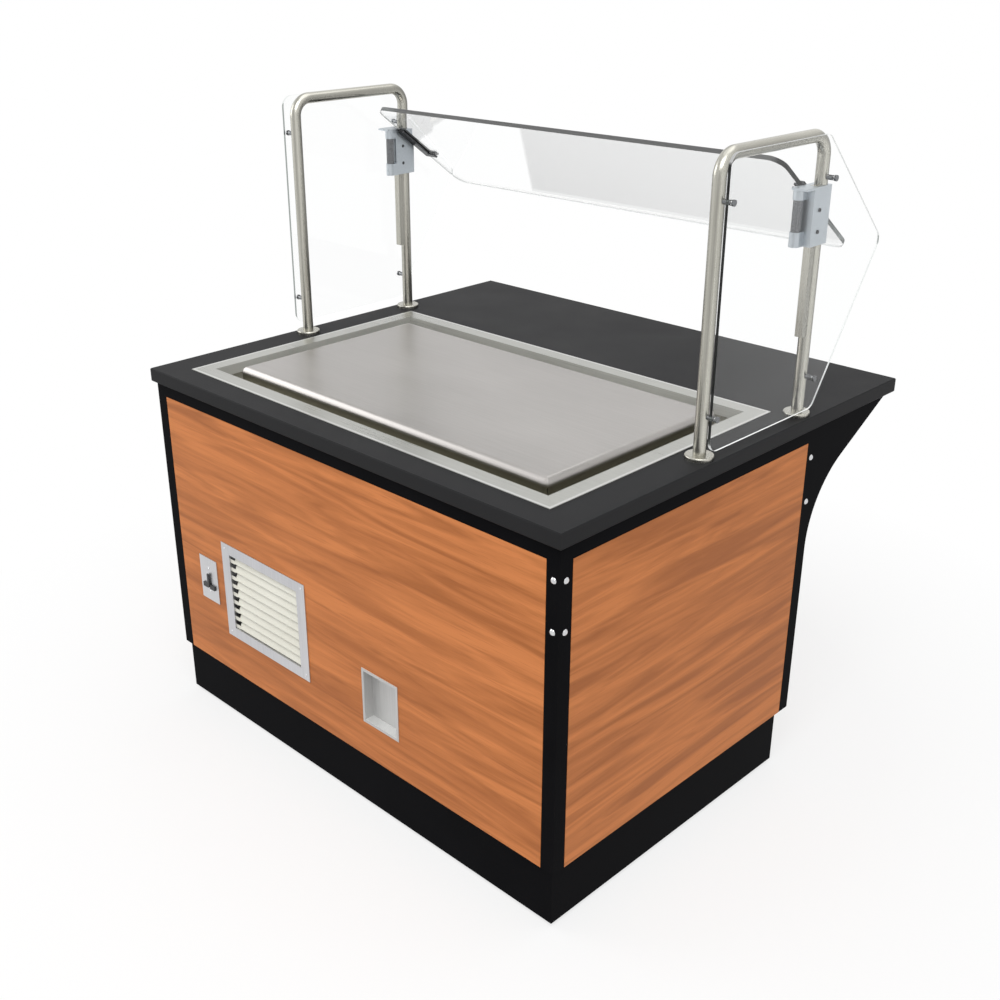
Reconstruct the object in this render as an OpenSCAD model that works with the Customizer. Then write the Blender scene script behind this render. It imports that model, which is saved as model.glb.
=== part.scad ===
// Mobile salad bar: a refrigerated frost-top counter on casters, with a tubular
// breath guard, glass ends and a glass front that slides and tilts on the rear posts.
// Millimetres. +Z up, +X to the right as the operator sees it, -Y the operator's
// side, +Y the customer's side. The origin is on the floor, under the middle of the
// whole object.

/* [Counter] */
// Length of the countertop
counter_l = 1270; // [1180:1:1500]
// Depth of the countertop with the customer's shelf
counter_d = 1130; // [1100:1:1200]
// Height of the countertop above the floor
counter_h = 870; // [840:1:930]
// Thickness of the countertop
counter_t = 32; // [26:1:40]
// Eased edge of the countertop
counter_ease = 2; // [1:0.5:4]
// Overhang of the countertop past the body at each end
end_overhang = 8; // [4:1:20]
// Overhang of the countertop past the body on the operator's side
front_overhang = 10; // [4:1:20]
// Overhang of the countertop past the body on the customer's side
shelf_overhang = 307; // [280:1:330]

/* [Body] */
// Width of the square corner posts
post_w = 32; // [30:1:40]
// Wall of the posts, rails and frames
steel_t = 2.5; // [2:0.5:4]
// Thickness of the laminated panels
panel_t = 19; // [16:1:22]
// Height of the black top rail that shows above the panels
top_rail_h = 31; // [25:1:45]
// Height of the panels' lower edge above the floor
body_z = 141; // [138:1:150]
// Gap between a panel and the posts beside it
reveal = 0.8; // [0.5:0.1:1.5]
// Height of the channel behind the panels' lower edge
sill_h = 38; // [30:1:50]
// Radius of the corner bolts' heads
bolt_head_r = 6.5; // [5:0.5:8]
// Depth of the upper corner bolts below the countertop
bolt_drop = 68; // [55:1:90]
// Distance between the corner bolts of one face
bolt_pitch = 102; // [60:1:130]

/* [Toe kick] */
// Floor clearance of the toe kick
kick_gap = 10; // [8:1:20]
// Inset of the toe kick at the ends and on the operator's side
kick_inset = 9; // [8:1:20]
// Inset of the toe kick on the customer's side
kick_inset_rear = 35; // [20:1:36]
// Width of the flange along the toe kick's upper edge
kick_flange = 10; // [8:1:14]

/* [Casters] */
// Diameter of the wheels
wheel_d = 100; // [90:1:104]
// Width of the wheels
wheel_w = 32; // [26:1:36]
// Trail of the wheels behind the swivel axis
caster_trail = 32; // [25:1:36]
// Distance of the swivel axes from the toe kick
caster_inset = 112; // [105:1:140]
// Height of the channels that carry the casters
beam_h = 20; // [16:1:25]

/* [Cold well] */
// Inset of the well's rim from the countertop's ends
rim_inset = 80; // [72:1:100]
// Inset of the well's rim from the operator's edge
rim_front = 61; // [55:1:75]
// Width of the rim's flange
rim_w = 38; // [32:1:45]
// Thickness of the well's sheet steel
sheet_t = 1.5; // [1:0.5:2]
// Width of the gutter at the ends of the slab
gutter_end = 40; // [36:1:55]
// Width of the gutter along the slab
gutter_side = 42; // [36:1:50]
// Depth of the gutter below the countertop's top face
gutter_depth = 22; // [18:1:30]
// Height of the slab above the countertop's top face
slab_rise = 5; // [3:1:15]
// Radius of the slab's rolled edge
slab_roll = 12; // [8:0.5:14]
// Depth of the insulated well below the countertop's top face
well_depth = 140; // [120:1:180]
// Thickness of the well's insulation
foam_t = 30; // [20:1:40]
// Outer diameter of the evaporator's tube
coil_tube_d = 9.5; // [8:0.5:12]

/* [Operator panel] */
// Width of the air vent's frame
vent_w = 313; // [280:1:330]
// Height of the air vent's frame
vent_h = 247; // [220:1:260]
// Distance of the vent's centre from the body's left end
vent_end = 364; // [347:1:387]
// Height of the vent's centre above the floor
vent_z = 370; // [360:1:400]
// Width of the vent frame's border
vent_border = 30; // [22:1:32]
// Number of louver blades
louvers = 9; // [6:1:11]
// Length of the open slots at the left end of the louvers
louver_slot = 14; // [10:1:20]
// Width of the switch plate
plate_w = 70; // [66:1:76]
// Height of the switch plate
plate_h = 114; // [105:1:120]
// Distance of the switch plate's centre from the body's left end
plate_end = 143; // [127:1:152]
// Width of the bar that the toggle stands on
bezel_w = 46; // [36:1:52]
// Height of the toggle above its pin
toggle_len = 33; // [24:1:38]
// Width of the toggle
toggle_w = 7; // [5:0.5:10]
// Width of the recessed pocket's flange
pocket_w = 114; // [100:1:130]
// Height of the recessed pocket's flange
pocket_h = 135; // [120:1:150]
// Depth of the recessed pocket
pocket_d = 22; // [15:1:30]
// Distance of the pocket's centre from the body's right end
pocket_end = 492; // [427:1:517]
// Height of the pocket's centre above the floor
pocket_z = 299; // [290:1:340]

/* [Shelf brackets] */
// Thickness of the shelf brackets
bracket_t = 32; // [25:1:38]
// Height of the shelf brackets
bracket_h = 288; // [250:1:320]
// Radius of the brackets' hollow edge
bracket_r = 220; // [180:1:240]
// Slope of the brackets' straight edge under the shelf
bracket_slope = 29.5; // [24:0.5:34]

/* [Guard] */
// Diameter of the guard's tube
tube_d = 25.4; // [22:0.1:28]
// Wall of the guard's tube
tube_t = 1.65; // [1.2:0.05:2.5]
// Inset of the guard's posts from the countertop's ends
guard_inset = 36; // [35:1:40]
// Distance between the two posts of one tube
guard_span = 338; // [310:1:360]
// Distance of the rear posts from the customer's side of the body
guard_rear = 49; // [40:1:62]
// Height of the guard's top tube above the countertop
guard_h = 564; // [530:1:620]
// Radius of the tube's bends along its centre line
bend_r = 40; // [34:1:60]
// Radius of the posts' base flanges
flange_r = 28.5; // [26:0.5:30]
// Thickness of the posts' base flanges
flange_t = 8; // [6:1:12]

/* [End glass] */
// Thickness of the end glass
end_glass_t = 6; // [5:0.5:8]
// Gap between the tube and the end glass
glass_gap = 13; // [11:0.1:13]
// Clearance of the end glass above the countertop
glass_foot = 20; // [15:1:35]
// Reach of the end glass past the rear posts
glass_nose = 210; // [180:1:230]
// Height of the glass nose above the countertop
nose_z = 339; // [300:1:370]
// Radius of the end glass's corners
glass_r = 25; // [15:1:35]
// Height of the lower standoffs above the countertop
standoff_low = 85; // [70:1:110]
// Height of the upper standoffs above the countertop
standoff_high = 485; // [472:1:490]
// Radius of the standoffs' screws
standoff_r = 3.5; // [3:0.5:4]

/* [Front glass] */
// Thickness of the front glass
front_glass_t = 10; // [8:0.5:12]
// Width of the front glass across the slope
front_glass_w = 358; // [330:1:380]
// Length of the front glass above its pivot
front_glass_up = 121; // [110:1:135]
// Slope of the front glass below level at rest
glass_slope = 36.3; // [34:0.1:40]
// Height of the glass's pivot above the countertop
pivot_z = 455; // [445:1:460]
// Height of the sliding clamps
clamp_h = 114; // [105:1:120]
// Travel of the clamps down their rails
clamp_travel = 185; // [120:1:190]
// Width of the adjuster rails
rail_w = 16; // [12:1:18]
// Depth of the adjuster rails in front of the tube
rail_d = 14; // [10:1:16]
// Diameter of the clamps' grips
knob_d = 19; // [16:0.5:20]
// Height of the clamps' grips
knob_h = 61; // [50:1:64]

/* [Cooling unit] */
// Diameter of the fan
fan_d = 250; // [220:1:270]
// Diameter of the compressor
compressor_d = 170; // [150:1:200]
// Height of the compressor
compressor_h = 230; // [200:1:260]
// Width of the condenser
condenser_w = 350; // [330:1:370]
// Height of the condenser
condenser_h = 330; // [310:1:350]
// Thickness of the condenser
condenser_t = 50; // [40:1:60]

/* [Fits] */
// Radial clearance of pins and shafts that turn in a bore
run_fit = 0.05; // [0.03:0.01:0.08]
// Clearance between parts that slide or pass each other
slip = 0.3; // [0.3:0.05:0.5]
// Radial clearance of screws in their holes
screw_fit = 0.2; // [0.1:0.05:0.4]

/* [Hidden] */
$fn = 48;

// Places along Y, from the operator's edge of the countertop
front_y = -counter_d / 2;
body_l = counter_l - 2 * end_overhang;
body_d = counter_d - front_overhang - shelf_overhang;
body_x = body_l / 2;
body_y0 = front_y + front_overhang;
body_y1 = body_y0 + body_d;
body_yc = (body_y0 + body_y1) / 2;

// Heights
under_z = counter_h - counter_t;
post_top = under_z - steel_t;
panel_top = under_z - top_rail_h;
plate_z = vent_z;
vent_x = body_x - vent_end;
plate_x = body_x - plate_end;
pocket_x = body_x - pocket_end;
frame_w = 60;

// Guard
tube_r = tube_d / 2;
guard_x = counter_l / 2 - guard_inset;
post_y1 = body_y1 - guard_rear;
post_y0 = post_y1 - guard_span;
glass_in = guard_x + tube_r + glass_gap;
glass_out = glass_in + end_glass_t;
cap_t = 4;
cap_r = 6;
neck_r = 5;

// Well
rim_x = counter_l / 2 - rim_inset;
rim_y0 = front_y + rim_front;
rim_y1 = post_y1 - flange_r;
rim_yc = (rim_y0 + rim_y1) / 2;
rim_d = rim_y1 - rim_y0;
gutter_x = rim_x - rim_w;
gutter_d = rim_d - 2 * rim_w;
slab_x = gutter_x - gutter_end;
slab_d = gutter_d - 2 * gutter_side;
slab_top = counter_h + slab_rise;
gutter_z = counter_h - gutter_depth;
slab_wall = 3;
well_gap = 3;
ledge_in = 20;
shell_x = gutter_x;
shell_d = gutter_d;
shell_z = counter_h - well_depth;
drain_x = gutter_x - 150;
drain_y = rim_yc - gutter_d / 2 + gutter_side / 2;
drain_r = 11;
drain_end = 50;
pipe_t = 1.5;
valve_z = 88;
valve_h = 44;
valve_ball = 21;
valve_r = 17;
stem_r = 4;

// Casters
caster_h = body_z - beam_h;
plate_thick = 4;
race_r = 24;
race_h = 9;
axle_r = 5;
king_r = 8;
fork_t = 3;
fork_gap = 2;
fork_x = wheel_w / 2 + fork_gap;
axle_z = wheel_d / 2;
caster_x = body_x - kick_inset - caster_inset;
caster_y0 = body_y0 + kick_inset + caster_inset;
caster_y1 = body_y1 - kick_inset_rear - caster_inset;
beam_w = 100;
pedal_y = -caster_trail - 38;
pedal_z = axle_z + 44;
pedal_r = 3;

// Operator panel
vent_t = 2;
vent_open_w = vent_w - 2 * vent_border;
vent_open_h = vent_h - 2 * vent_border + 8;
collar_d = panel_t + 8;
louver_pitch = vent_open_h / louvers;
pocket_lip = 5;

// Front glass: the pivot is inside the clamps, near their top
pivot_y = post_y1 - 12;
pivot_h = counter_h + pivot_z;
pin_r = 5;
clamp_top = counter_h + pivot_z + 15;
clamp_z = clamp_top - clamp_h;
clamp_in = 20;
clamp_out = 14.5;
clamp_front = 43;
clamp_back = 17;
clamp_x0 = guard_x - clamp_in;
clamp_x1 = guard_x + clamp_out;
clamp_y0 = post_y1 - clamp_front;
clamp_y1 = post_y1 + clamp_back;
arm_w = 20;
arm_t = 18;
arm_up = 24;
arm_down = 96;
arm_tab = 20;
arm_x1 = clamp_x0 - 0.5;
glass_bite = 16;
front_glass_x = arm_x1 - arm_w + glass_bite;
ear_out = 56;
ear_in = 12;
ear_r = knob_d / 2 + 1.5;
ear_x = guard_x - ear_in;
ear_y = post_y1 - ear_out;
ear_low = 29;
knob_z = clamp_z + ear_low + slip;
knob_shaft_r = 4;
rail_bottom = clamp_z - clamp_travel;

// Cooling unit
deck_z = body_z + steel_t;
deck_top = deck_z + steel_t;
unit_x = -vent_x;
condenser_y = body_y0 + collar_d + 22;
shroud_y = condenser_y + condenser_t;
shroud_d = 55;
shroud_t = 2;
fan_z = deck_top + condenser_h / 2;
fan_y = shroud_y + shroud_d - 29;
hub_r = 22;
hub_h = 16;
shaft_r = 4;
motor_y = shroud_y + shroud_d + 14;
motor_r = 42;
compressor_y = body_yc + 90;

// A box given by its low and high corners
module block(low, high) {
    translate(low) cube(high - low);
}

// A square frame standing on z, open in the middle
module frame_ring(x, y0, y1, z0, z1, border) {
    difference() {
        block([-x, y0, z0], [x, y1, z1]);
        block([-x + border, y0 + border, z0 - 1], [x - border, y1 - border, z1 + 1]);
    }
}

// A cylinder along X, from x0 to x1
module rod_x(x0, x1, y, z, r) {
    translate([x0, y, z]) rotate([0, 90, 0]) cylinder(h = x1 - x0, r = r);
}

// A cylinder along Y, from y0 to y1
module rod_y(x, y0, y1, z, r) {
    translate([x, y0, z]) rotate([-90, 0, 0]) cylinder(h = y1 - y0, r = r);
}

// The same thing at both ends of the object
module both_ends() {
    children();
    mirror([1, 0, 0]) children();
}

// ---------------------------------------------------------------- counter

module countertop() {
    x = counter_l / 2;
    e = counter_ease;
    color([0.25, 0.25, 0.26])
        difference() {
            hull() {
                block([-x, front_y, under_z + e], [x, front_y + counter_d, counter_h - e]);
                block([-x + e, front_y + e, under_z], [x - e, front_y + counter_d - e, counter_h]);
            }
            block(
                [-gutter_x - well_gap, rim_yc - gutter_d / 2 - well_gap, under_z - 1],
                [gutter_x + well_gap, rim_yc + gutter_d / 2 + well_gap, counter_h + 1]
            );
        }
}

rail_lip = post_w - 4;

// A welded ring under the countertop, with channel rails between the posts
module top_frame() {
    color([0.06, 0.07, 0.08]) {
        frame_ring(body_x, body_y0, body_y1, post_top, under_z, frame_w);
        for (side = [-1, 1]) {
            top_rail_end(side);
        }
        top_rail_side(body_y0, body_y0 + steel_t, body_y0 + rail_lip);
        top_rail_side(body_y1 - steel_t, body_y1, body_y1 - rail_lip);
    }
}

module top_rail_side(face_0, face_1, lip_y) {
    x = body_x - post_w;
    block([-x, face_0, panel_top], [x, face_1, post_top]);
    block([-x, min(face_0, lip_y), panel_top], [x, max(face_1, lip_y), panel_top + steel_t]);
}

module top_rail_end(side) {
    y0 = body_y0 + post_w;
    y1 = body_y1 - post_w;
    face = side > 0 ? body_x - steel_t : -body_x;
    lip = side > 0 ? body_x - rail_lip : -body_x;
    block([face, y0, panel_top], [face + steel_t, y1, post_top]);
    block([lip, y0, panel_top], [lip + rail_lip, y1, panel_top + steel_t]);
}

// ------------------------------------------------------------------- body

// Heights of the bolts on the posts' outer faces; the brackets cover the rear faces
bolt_heights = [under_z - bolt_drop, under_z - bolt_drop - bolt_pitch];
bolt_shank_r = 3;
bolt_shank_l = 11;

// A square tube post with its outer corner at the body's corner
module corner_post(side, rear) {
    x = side * (body_x - post_w / 2);
    y = rear ? body_y1 - post_w / 2 : body_y0 + post_w / 2;
    color([0.06, 0.07, 0.08])
        difference() {
            translate([x - post_w / 2, y - post_w / 2, body_z])
                cube([post_w, post_w, post_top - body_z]);
            translate([x - post_w / 2 + steel_t, y - post_w / 2 + steel_t, body_z - 1])
                cube([post_w - 2 * steel_t, post_w - 2 * steel_t, post_top - body_z + 2]);
            for (z = bolt_heights) {
                if (!rear && side > 0) {
                    rod_y(x, y - post_w, y, z, bolt_shank_r + screw_fit);
                }
                translate([x, y, z]) rotate([0, side * 90, 0])
                    cylinder(h = post_w, r = bolt_shank_r + screw_fit);
            }
        }
}

// A button-head bolt along +Z, its head's seat at the origin
module button_bolt() {
    rise = bolt_head_r * 0.55;
    ball = (bolt_head_r * bolt_head_r + rise * rise) / (2 * rise);
    intersection() {
        translate([0, 0, rise - ball]) sphere(r = ball);
        cylinder(h = rise, r = bolt_head_r);
    }
    translate([0, 0, -bolt_shank_l]) cylinder(h = bolt_shank_l + 0.01, r = bolt_shank_r);
}

module corner_bolts() {
    inset = post_w / 2;
    color([0.85, 0.86, 0.87])
        for (side = [-1, 1]) {
            for (z = bolt_heights) {
                for (y = [body_y0 + inset, body_y1 - inset]) {
                    translate([side * body_x, y, z]) rotate([0, side * 90, 0]) button_bolt();
                }
            }
        }
    color([0.85, 0.86, 0.87])
        for (z = bolt_heights) {
            translate([body_x - inset, body_y0, z]) rotate([90, 0, 0]) button_bolt();
        }
}

panel_x = body_x - post_w - reveal;
panel_z1 = panel_top - reveal;

module operator_panel() {
    color([0.78, 0.48, 0.28])
        difference() {
            block([-panel_x, body_y0, body_z], [panel_x, body_y0 + panel_t, panel_z1]);
            vent_cut(slip);
            switch_cut();
            pocket_cut(slip);
        }
}

module vent_cut(gap) {
    w = vent_open_w / 2 + sheet_t + gap;
    h = vent_open_h / 2 + sheet_t + gap;
    block([unit_x - w, body_y0 - 1, vent_z - h], [unit_x + w, body_y0 + panel_t + 1, vent_z + h]);
}

module switch_cut() {
    w = switch_w / 2 + 2;
    h = switch_h / 2 + 2;
    block([-plate_x - w, body_y0 - 1, plate_z - h], [-plate_x + w, body_y0 + panel_t + 1, plate_z + h]);
}

module pocket_cut(gap) {
    w = pocket_w / 2 - pocket_lip + gap;
    h = pocket_h / 2 - pocket_lip + gap;
    block([pocket_x - w, body_y0 - 1, pocket_z - h], [pocket_x + w, body_y0 + panel_t + 1, pocket_z + h]);
}

module customer_panel() {
    color([0.78, 0.48, 0.28])
        block([-panel_x, body_y1 - panel_t, body_z], [panel_x, body_y1, panel_z1]);
}

module end_panel(side) {
    y0 = body_y0 + post_w + reveal;
    y1 = body_y1 - post_w - reveal;
    x = side > 0 ? body_x - panel_t : -body_x;
    color([0.78, 0.48, 0.28])
        block([x, y0, body_z], [x + panel_t, y1, panel_z1]);
}

// The body's outline drawn in by an inset, with a square notch at each corner post
module notched_plan(inset, notch) {
    difference() {
        translate([-body_x + inset, body_y0 + inset])
            square([body_l - 2 * inset, body_d - 2 * inset]);
        for (x = [-body_x, body_x - notch]) {
            for (y = [body_y0, body_y1 - notch]) {
                translate([x, y]) square([notch, notch]);
            }
        }
    }
}

// A folded channel round the floor and two beams across it for the casters
module base_frame() {
    color([0.06, 0.07, 0.08]) {
        translate([0, 0, body_z])
            linear_extrude(steel_t)
                difference() {
                    notched_plan(panel_t, post_w);
                    translate([-body_x + frame_w + 20, body_y0 + frame_w + 20])
                        square([body_l - 2 * frame_w - 40, body_d - 2 * frame_w - 40]);
                }
        translate([0, 0, body_z])
            linear_extrude(sill_h)
                difference() {
                    notched_plan(panel_t, post_w);
                    notched_plan(panel_t + steel_t, post_w + steel_t);
                }
        for (x = [-caster_x, caster_x]) {
            caster_beam(x);
        }
    }
}

module caster_beam(x) {
    y0 = body_y0 + kick_inset + kick_flange + 2;
    y1 = body_y1 - kick_inset_rear - kick_flange - 2;
    w = beam_w / 2;
    difference() {
        block([x - w, y0, body_z - beam_h], [x + w, y1, body_z]);
        block([x - w + steel_t, y0 - 1, body_z - beam_h + steel_t], [x + w - steel_t, y1 + 1, body_z + 1]);
    }
}

module base_deck() {
    inset = post_w + steel_t + slip;
    color([0.55, 0.56, 0.57])
        difference() {
            block(
                [-body_x + inset, body_y0 + inset, deck_z],
                [body_x - inset, body_y1 - inset, deck_top]
            );
            translate([drain_x, drain_y, deck_z - 1]) cylinder(h = steel_t + 2, r = drain_r + 2);
            translate([gland_x, gland_y, deck_z - 1]) cylinder(h = steel_t + 2, r = gland_r + screw_fit);
        }
}

// A black skirt hung under the body, hiding the casters
module toe_kick() {
    x = body_x - kick_inset;
    y0 = body_y0 + kick_inset;
    y1 = body_y1 - kick_inset_rear;
    color([0.04, 0.045, 0.05]) {
        frame_ring(x, y0, y1, kick_gap, body_z, steel_t);
        frame_ring(x, y0, y1, body_z - steel_t, body_z, kick_flange);
    }
}

// A bracket whose lower edge is an arc off the post that runs into a straight slope
module shelf_bracket(side) {
    turn = 90 - bracket_slope;
    touch = [bracket_r - bracket_r * cos(turn), -bracket_h + bracket_r * sin(turn)];
    tip = touch[0] - touch[1] / tan(bracket_slope);
    x0 = side > 0 ? body_x - bracket_t : -body_x;
    color([0.06, 0.07, 0.08])
        translate([x0, body_y1, under_z])
            rotate([90, 0, 90])
                linear_extrude(bracket_t)
                    difference() {
                        polygon([[0, 0], [0, -bracket_h], [touch[0], -bracket_h], touch, [tip, 0]]);
                        translate([bracket_r, -bracket_h]) circle(r = bracket_r, $fn = 120);
                    }
}

// --------------------------------------------------------- operator panel

module vent_frame() {
    w = vent_w / 2;
    h = vent_h / 2;
    ow = vent_open_w / 2;
    oh = vent_open_h / 2;
    color([0.76, 0.77, 0.77])
        difference() {
            union() {
                block([unit_x - w, body_y0 - vent_t, vent_z - h], [unit_x + w, body_y0, vent_z + h]);
                block(
                    [unit_x - ow - sheet_t, body_y0 - vent_t, vent_z - oh - sheet_t],
                    [unit_x + ow + sheet_t, body_y0 + collar_d, vent_z + oh + sheet_t]
                );
            }
            block(
                [unit_x - ow, body_y0 - vent_t - 1, vent_z - oh],
                [unit_x + ow, body_y0 + collar_d + 1, vent_z + oh]
            );
        }
}

// One louver blade: a sloping face with a rolled lip, open at its left end, where
// only the lip runs on to the frame
module louver_blade() {
    t = 1.2;
    lip = louver_pitch * 0.3;
    face_h = louver_pitch * 0.94;
    slope_d = 9;
    w = vent_open_w;
    translate([-w / 2 + louver_slot, 0, 0])
        rotate([90, 0, 90])
            linear_extrude(w - louver_slot)
                polygon([[0, 0], [t, 0], [slope_d + t, face_h], [slope_d, face_h]]);
    block([-w / 2, 0, 0], [w / 2, t, lip]);
}

module vent_louvers() {
    color([0.9, 0.89, 0.82])
        for (i = [0 : louvers - 1]) {
            translate([unit_x, body_y0 + 1, vent_z - vent_open_h / 2 + (i + 0.04) * louver_pitch])
                louver_blade();
        }
}

switch_w = 44;
switch_h = 66;
switch_d = 38;
plate_t = 2;
bezel_h = 11;
bezel_t = 4;
toggle_t = 3.5;
toggle_r = 3.2;
toggle_pin_r = 1.5;
toggle_z = plate_z - 18;
toggle_y = body_y0 - plate_t - bezel_t / 2;

module switch_plate() {
    color([0.72, 0.73, 0.74])
        difference() {
            block(
                [-plate_x - plate_w / 2, body_y0 - plate_t, plate_z - plate_h / 2],
                [-plate_x + plate_w / 2, body_y0, plate_z + plate_h / 2]
            );
            block(
                [-plate_x - toggle_w, body_y0 - plate_t - 1, toggle_z - bezel_h / 2 + 1],
                [-plate_x + toggle_w, body_y0 + 1, toggle_z + bezel_h / 2 - 1]
            );
        }
}

// The switch behind the plate, with a bar in front that holds the toggle's pin
module switch_body() {
    w = toggle_w / 2 + slip;
    color([0.1, 0.1, 0.11]) {
        difference() {
            union() {
                block(
                    [-plate_x - switch_w / 2, body_y0, plate_z - switch_h / 2],
                    [-plate_x + switch_w / 2, body_y0 + switch_d, plate_z + switch_h / 2]
                );
                block(
                    [-plate_x - toggle_w + slip, body_y0 - plate_t, toggle_z - bezel_h / 2 + 1 + slip],
                    [-plate_x + toggle_w - slip, body_y0, toggle_z + bezel_h / 2 - 1 - slip]
                );
                block(
                    [-plate_x - bezel_w / 2, body_y0 - plate_t - bezel_t, toggle_z - bezel_h / 2],
                    [-plate_x + bezel_w / 2, body_y0 - plate_t, toggle_z + bezel_h / 2]
                );
            }
            block(
                [-plate_x - w, body_y0 - plate_t - bezel_t - 1, toggle_z - bezel_h / 2 - 1],
                [-plate_x + w, toggle_y + toggle_r + slip, toggle_z + bezel_h / 2 + 1]
            );
        }
        rod_x(-plate_x - w - 1, -plate_x + w + 1, toggle_y, toggle_z, toggle_pin_r);
    }
}

// A flat toggle that stands up against the plate and swings out on its pin
module toggle_lever() {
    w = toggle_w / 2;
    color([0.12, 0.12, 0.13])
        difference() {
            union() {
                rod_x(-plate_x - w, -plate_x + w, toggle_y, toggle_z, toggle_r);
                block(
                    [-plate_x - w, toggle_y - toggle_r, toggle_z],
                    [-plate_x + w, toggle_y - toggle_r + toggle_t, toggle_z + toggle_len]
                );
            }
            rod_x(-plate_x - w - 1, -plate_x + w + 1, toggle_y, toggle_z, toggle_pin_r + run_fit);
        }
}

module recess_pocket() {
    w = pocket_w / 2;
    h = pocket_h / 2;
    l = pocket_lip;
    color([0.74, 0.77, 0.75])
        difference() {
            union() {
                block(
                    [pocket_x - w, body_y0 - sheet_t, pocket_z - h],
                    [pocket_x + w, body_y0, pocket_z + h]
                );
                block(
                    [pocket_x - w + l, body_y0 - sheet_t, pocket_z - h + l],
                    [pocket_x + w - l, body_y0 + pocket_d + sheet_t, pocket_z + h - l]
                );
            }
            block(
                [pocket_x - w + l + sheet_t, body_y0 - sheet_t - 1, pocket_z - h + l + sheet_t],
                [pocket_x + w - l - sheet_t, body_y0 + pocket_d, pocket_z + h - l - sheet_t]
            );
        }
}

// -------------------------------------------------------------- cold well

module centred(x, d, z0, z1) {
    block([-x, rim_yc - d / 2, z0], [x, rim_yc + d / 2, z1]);
}

// A flat border with a wall folded down from its inner edge
module rim_ring() {
    t = sheet_t;
    difference() {
        union() {
            centred(rim_x, rim_d, counter_h, counter_h + t);
            centred(gutter_x, gutter_d, gutter_z, counter_h + t);
        }
        centred(gutter_x - t, gutter_d - 2 * t, gutter_z - 1, counter_h + t + 1);
    }
}

// The rim: four folded strips, mitred at the corners
module well_rim() {
    meet = rim_x - rim_d / 2;
    far = rim_x + 1;
    seam = 0.05;
    color([0.8, 0.8, 0.78])
        for (side = [-1, 1]) {
            intersection() {
                rim_ring();
                translate([0, rim_yc, gutter_z - 5])
                    linear_extrude(gutter_depth + 10)
                        polygon([
                            [side * (meet + seam), 0], [side * far, far - meet - seam],
                            [side * far, -far + meet + seam]
                        ]);
            }
            intersection() {
                rim_ring();
                translate([0, rim_yc, gutter_z - 5])
                    linear_extrude(gutter_depth + 10)
                        polygon([
                            [-meet, side * seam], [meet, side * seam],
                            [far, side * (far - meet + seam)], [-far, side * (far - meet + seam)]
                        ]);
            }
        }
}

// The frost slab: a pan turned upside down, with rolled upper edges
module cold_slab() {
    color([0.75, 0.74, 0.72])
        difference() {
            rolled_slab(slab_x, slab_d, slab_roll, gutter_z, slab_top);
            centred(
                slab_x - slab_wall, slab_d - 2 * slab_wall,
                gutter_z - 1, slab_top - slab_wall - slab_roll
            );
            centred(
                slab_x - slab_roll, slab_d - 2 * slab_roll,
                gutter_z, slab_top - slab_wall
            );
        }
}

module rolled_slab(x, d, r, z0, z1) {
    hull()
        for (sx = [-1, 1]) {
            for (sy = [-1, 1]) {
                translate([sx * (x - r), rim_yc + sy * (d / 2 - r), 0]) {
                    translate([0, 0, z1 - r]) sphere(r = r, $fn = 32);
                    translate([0, 0, z0]) cylinder(h = 1, r = r, $fn = 32);
                }
            }
        }
}

// Passages through the bottom of the well for the drain, as high as `rise`, and the two lines
module well_holes(rise) {
    translate([drain_x, drain_y, shell_z - 1]) cylinder(h = rise, r = drain_r + 1);
    for (y = line_ys) {
        translate([line_x, y, shell_z - 1]) cylinder(h = foam_t + 10, r = coil_tube_d / 2 + 1);
    }
}

module well_shell() {
    t = sheet_t;
    color([0.6, 0.62, 0.63])
        difference() {
            centred(shell_x, shell_d, shell_z, gutter_z);
            centred(shell_x - t, shell_d - 2 * t, shell_z + t, gutter_z - t);
            centred(slab_x - ledge_in, slab_d - 2 * ledge_in, gutter_z - t - 1, gutter_z + 1);
            well_holes(foam_t);
            translate([drain_x, drain_y, gutter_z - t - 1]) cylinder(h = t + 2, r = drain_r - pipe_t);
        }
}

module well_insulation() {
    t = sheet_t;
    color([0.86, 0.8, 0.62])
        difference() {
            centred(shell_x - t, shell_d - 2 * t, shell_z + t, gutter_z - t - slip);
            centred(shell_x - t - foam_t, shell_d - 2 * t - 2 * foam_t, shell_z + t + foam_t, gutter_z);
            well_holes(well_depth);
            translate([drain_x, drain_y, gutter_z - t - 7]) cylinder(h = 8, r = drain_r + 7);
        }
}

// Runs of tube under the slab, joined by half-turn bends into one serpentine
coil_runs = 6;
coil_z = slab_top - slab_wall - coil_tube_d / 2 - 0.1;
coil_half = slab_x - 90;
coil_pitch = (slab_d - 110) / (coil_runs - 1);
coil_y0 = rim_yc - coil_pitch * (coil_runs - 1) / 2;
line_x = -coil_half - 10;
line_ys = [coil_y0, coil_y0 + coil_pitch * (coil_runs - 1)];

module evaporator_coil() {
    r = coil_tube_d / 2;
    color([0.72, 0.43, 0.25]) {
        for (i = [0 : coil_runs - 1]) {
            rod_x(-coil_half, coil_half, coil_y0 + i * coil_pitch, coil_z, r);
        }
        for (i = [0 : coil_runs - 2]) {
            side = i % 2 == 0 ? 1 : -1;
            translate([side * coil_half, coil_y0 + (i + 0.5) * coil_pitch, coil_z])
                rotate([0, 0, side > 0 ? -90 : 90])
                    rotate_extrude(angle = 180) translate([coil_pitch / 2, 0]) circle(r = r);
        }
    }
}

// ------------------------------------------------------------------ drain

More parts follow.
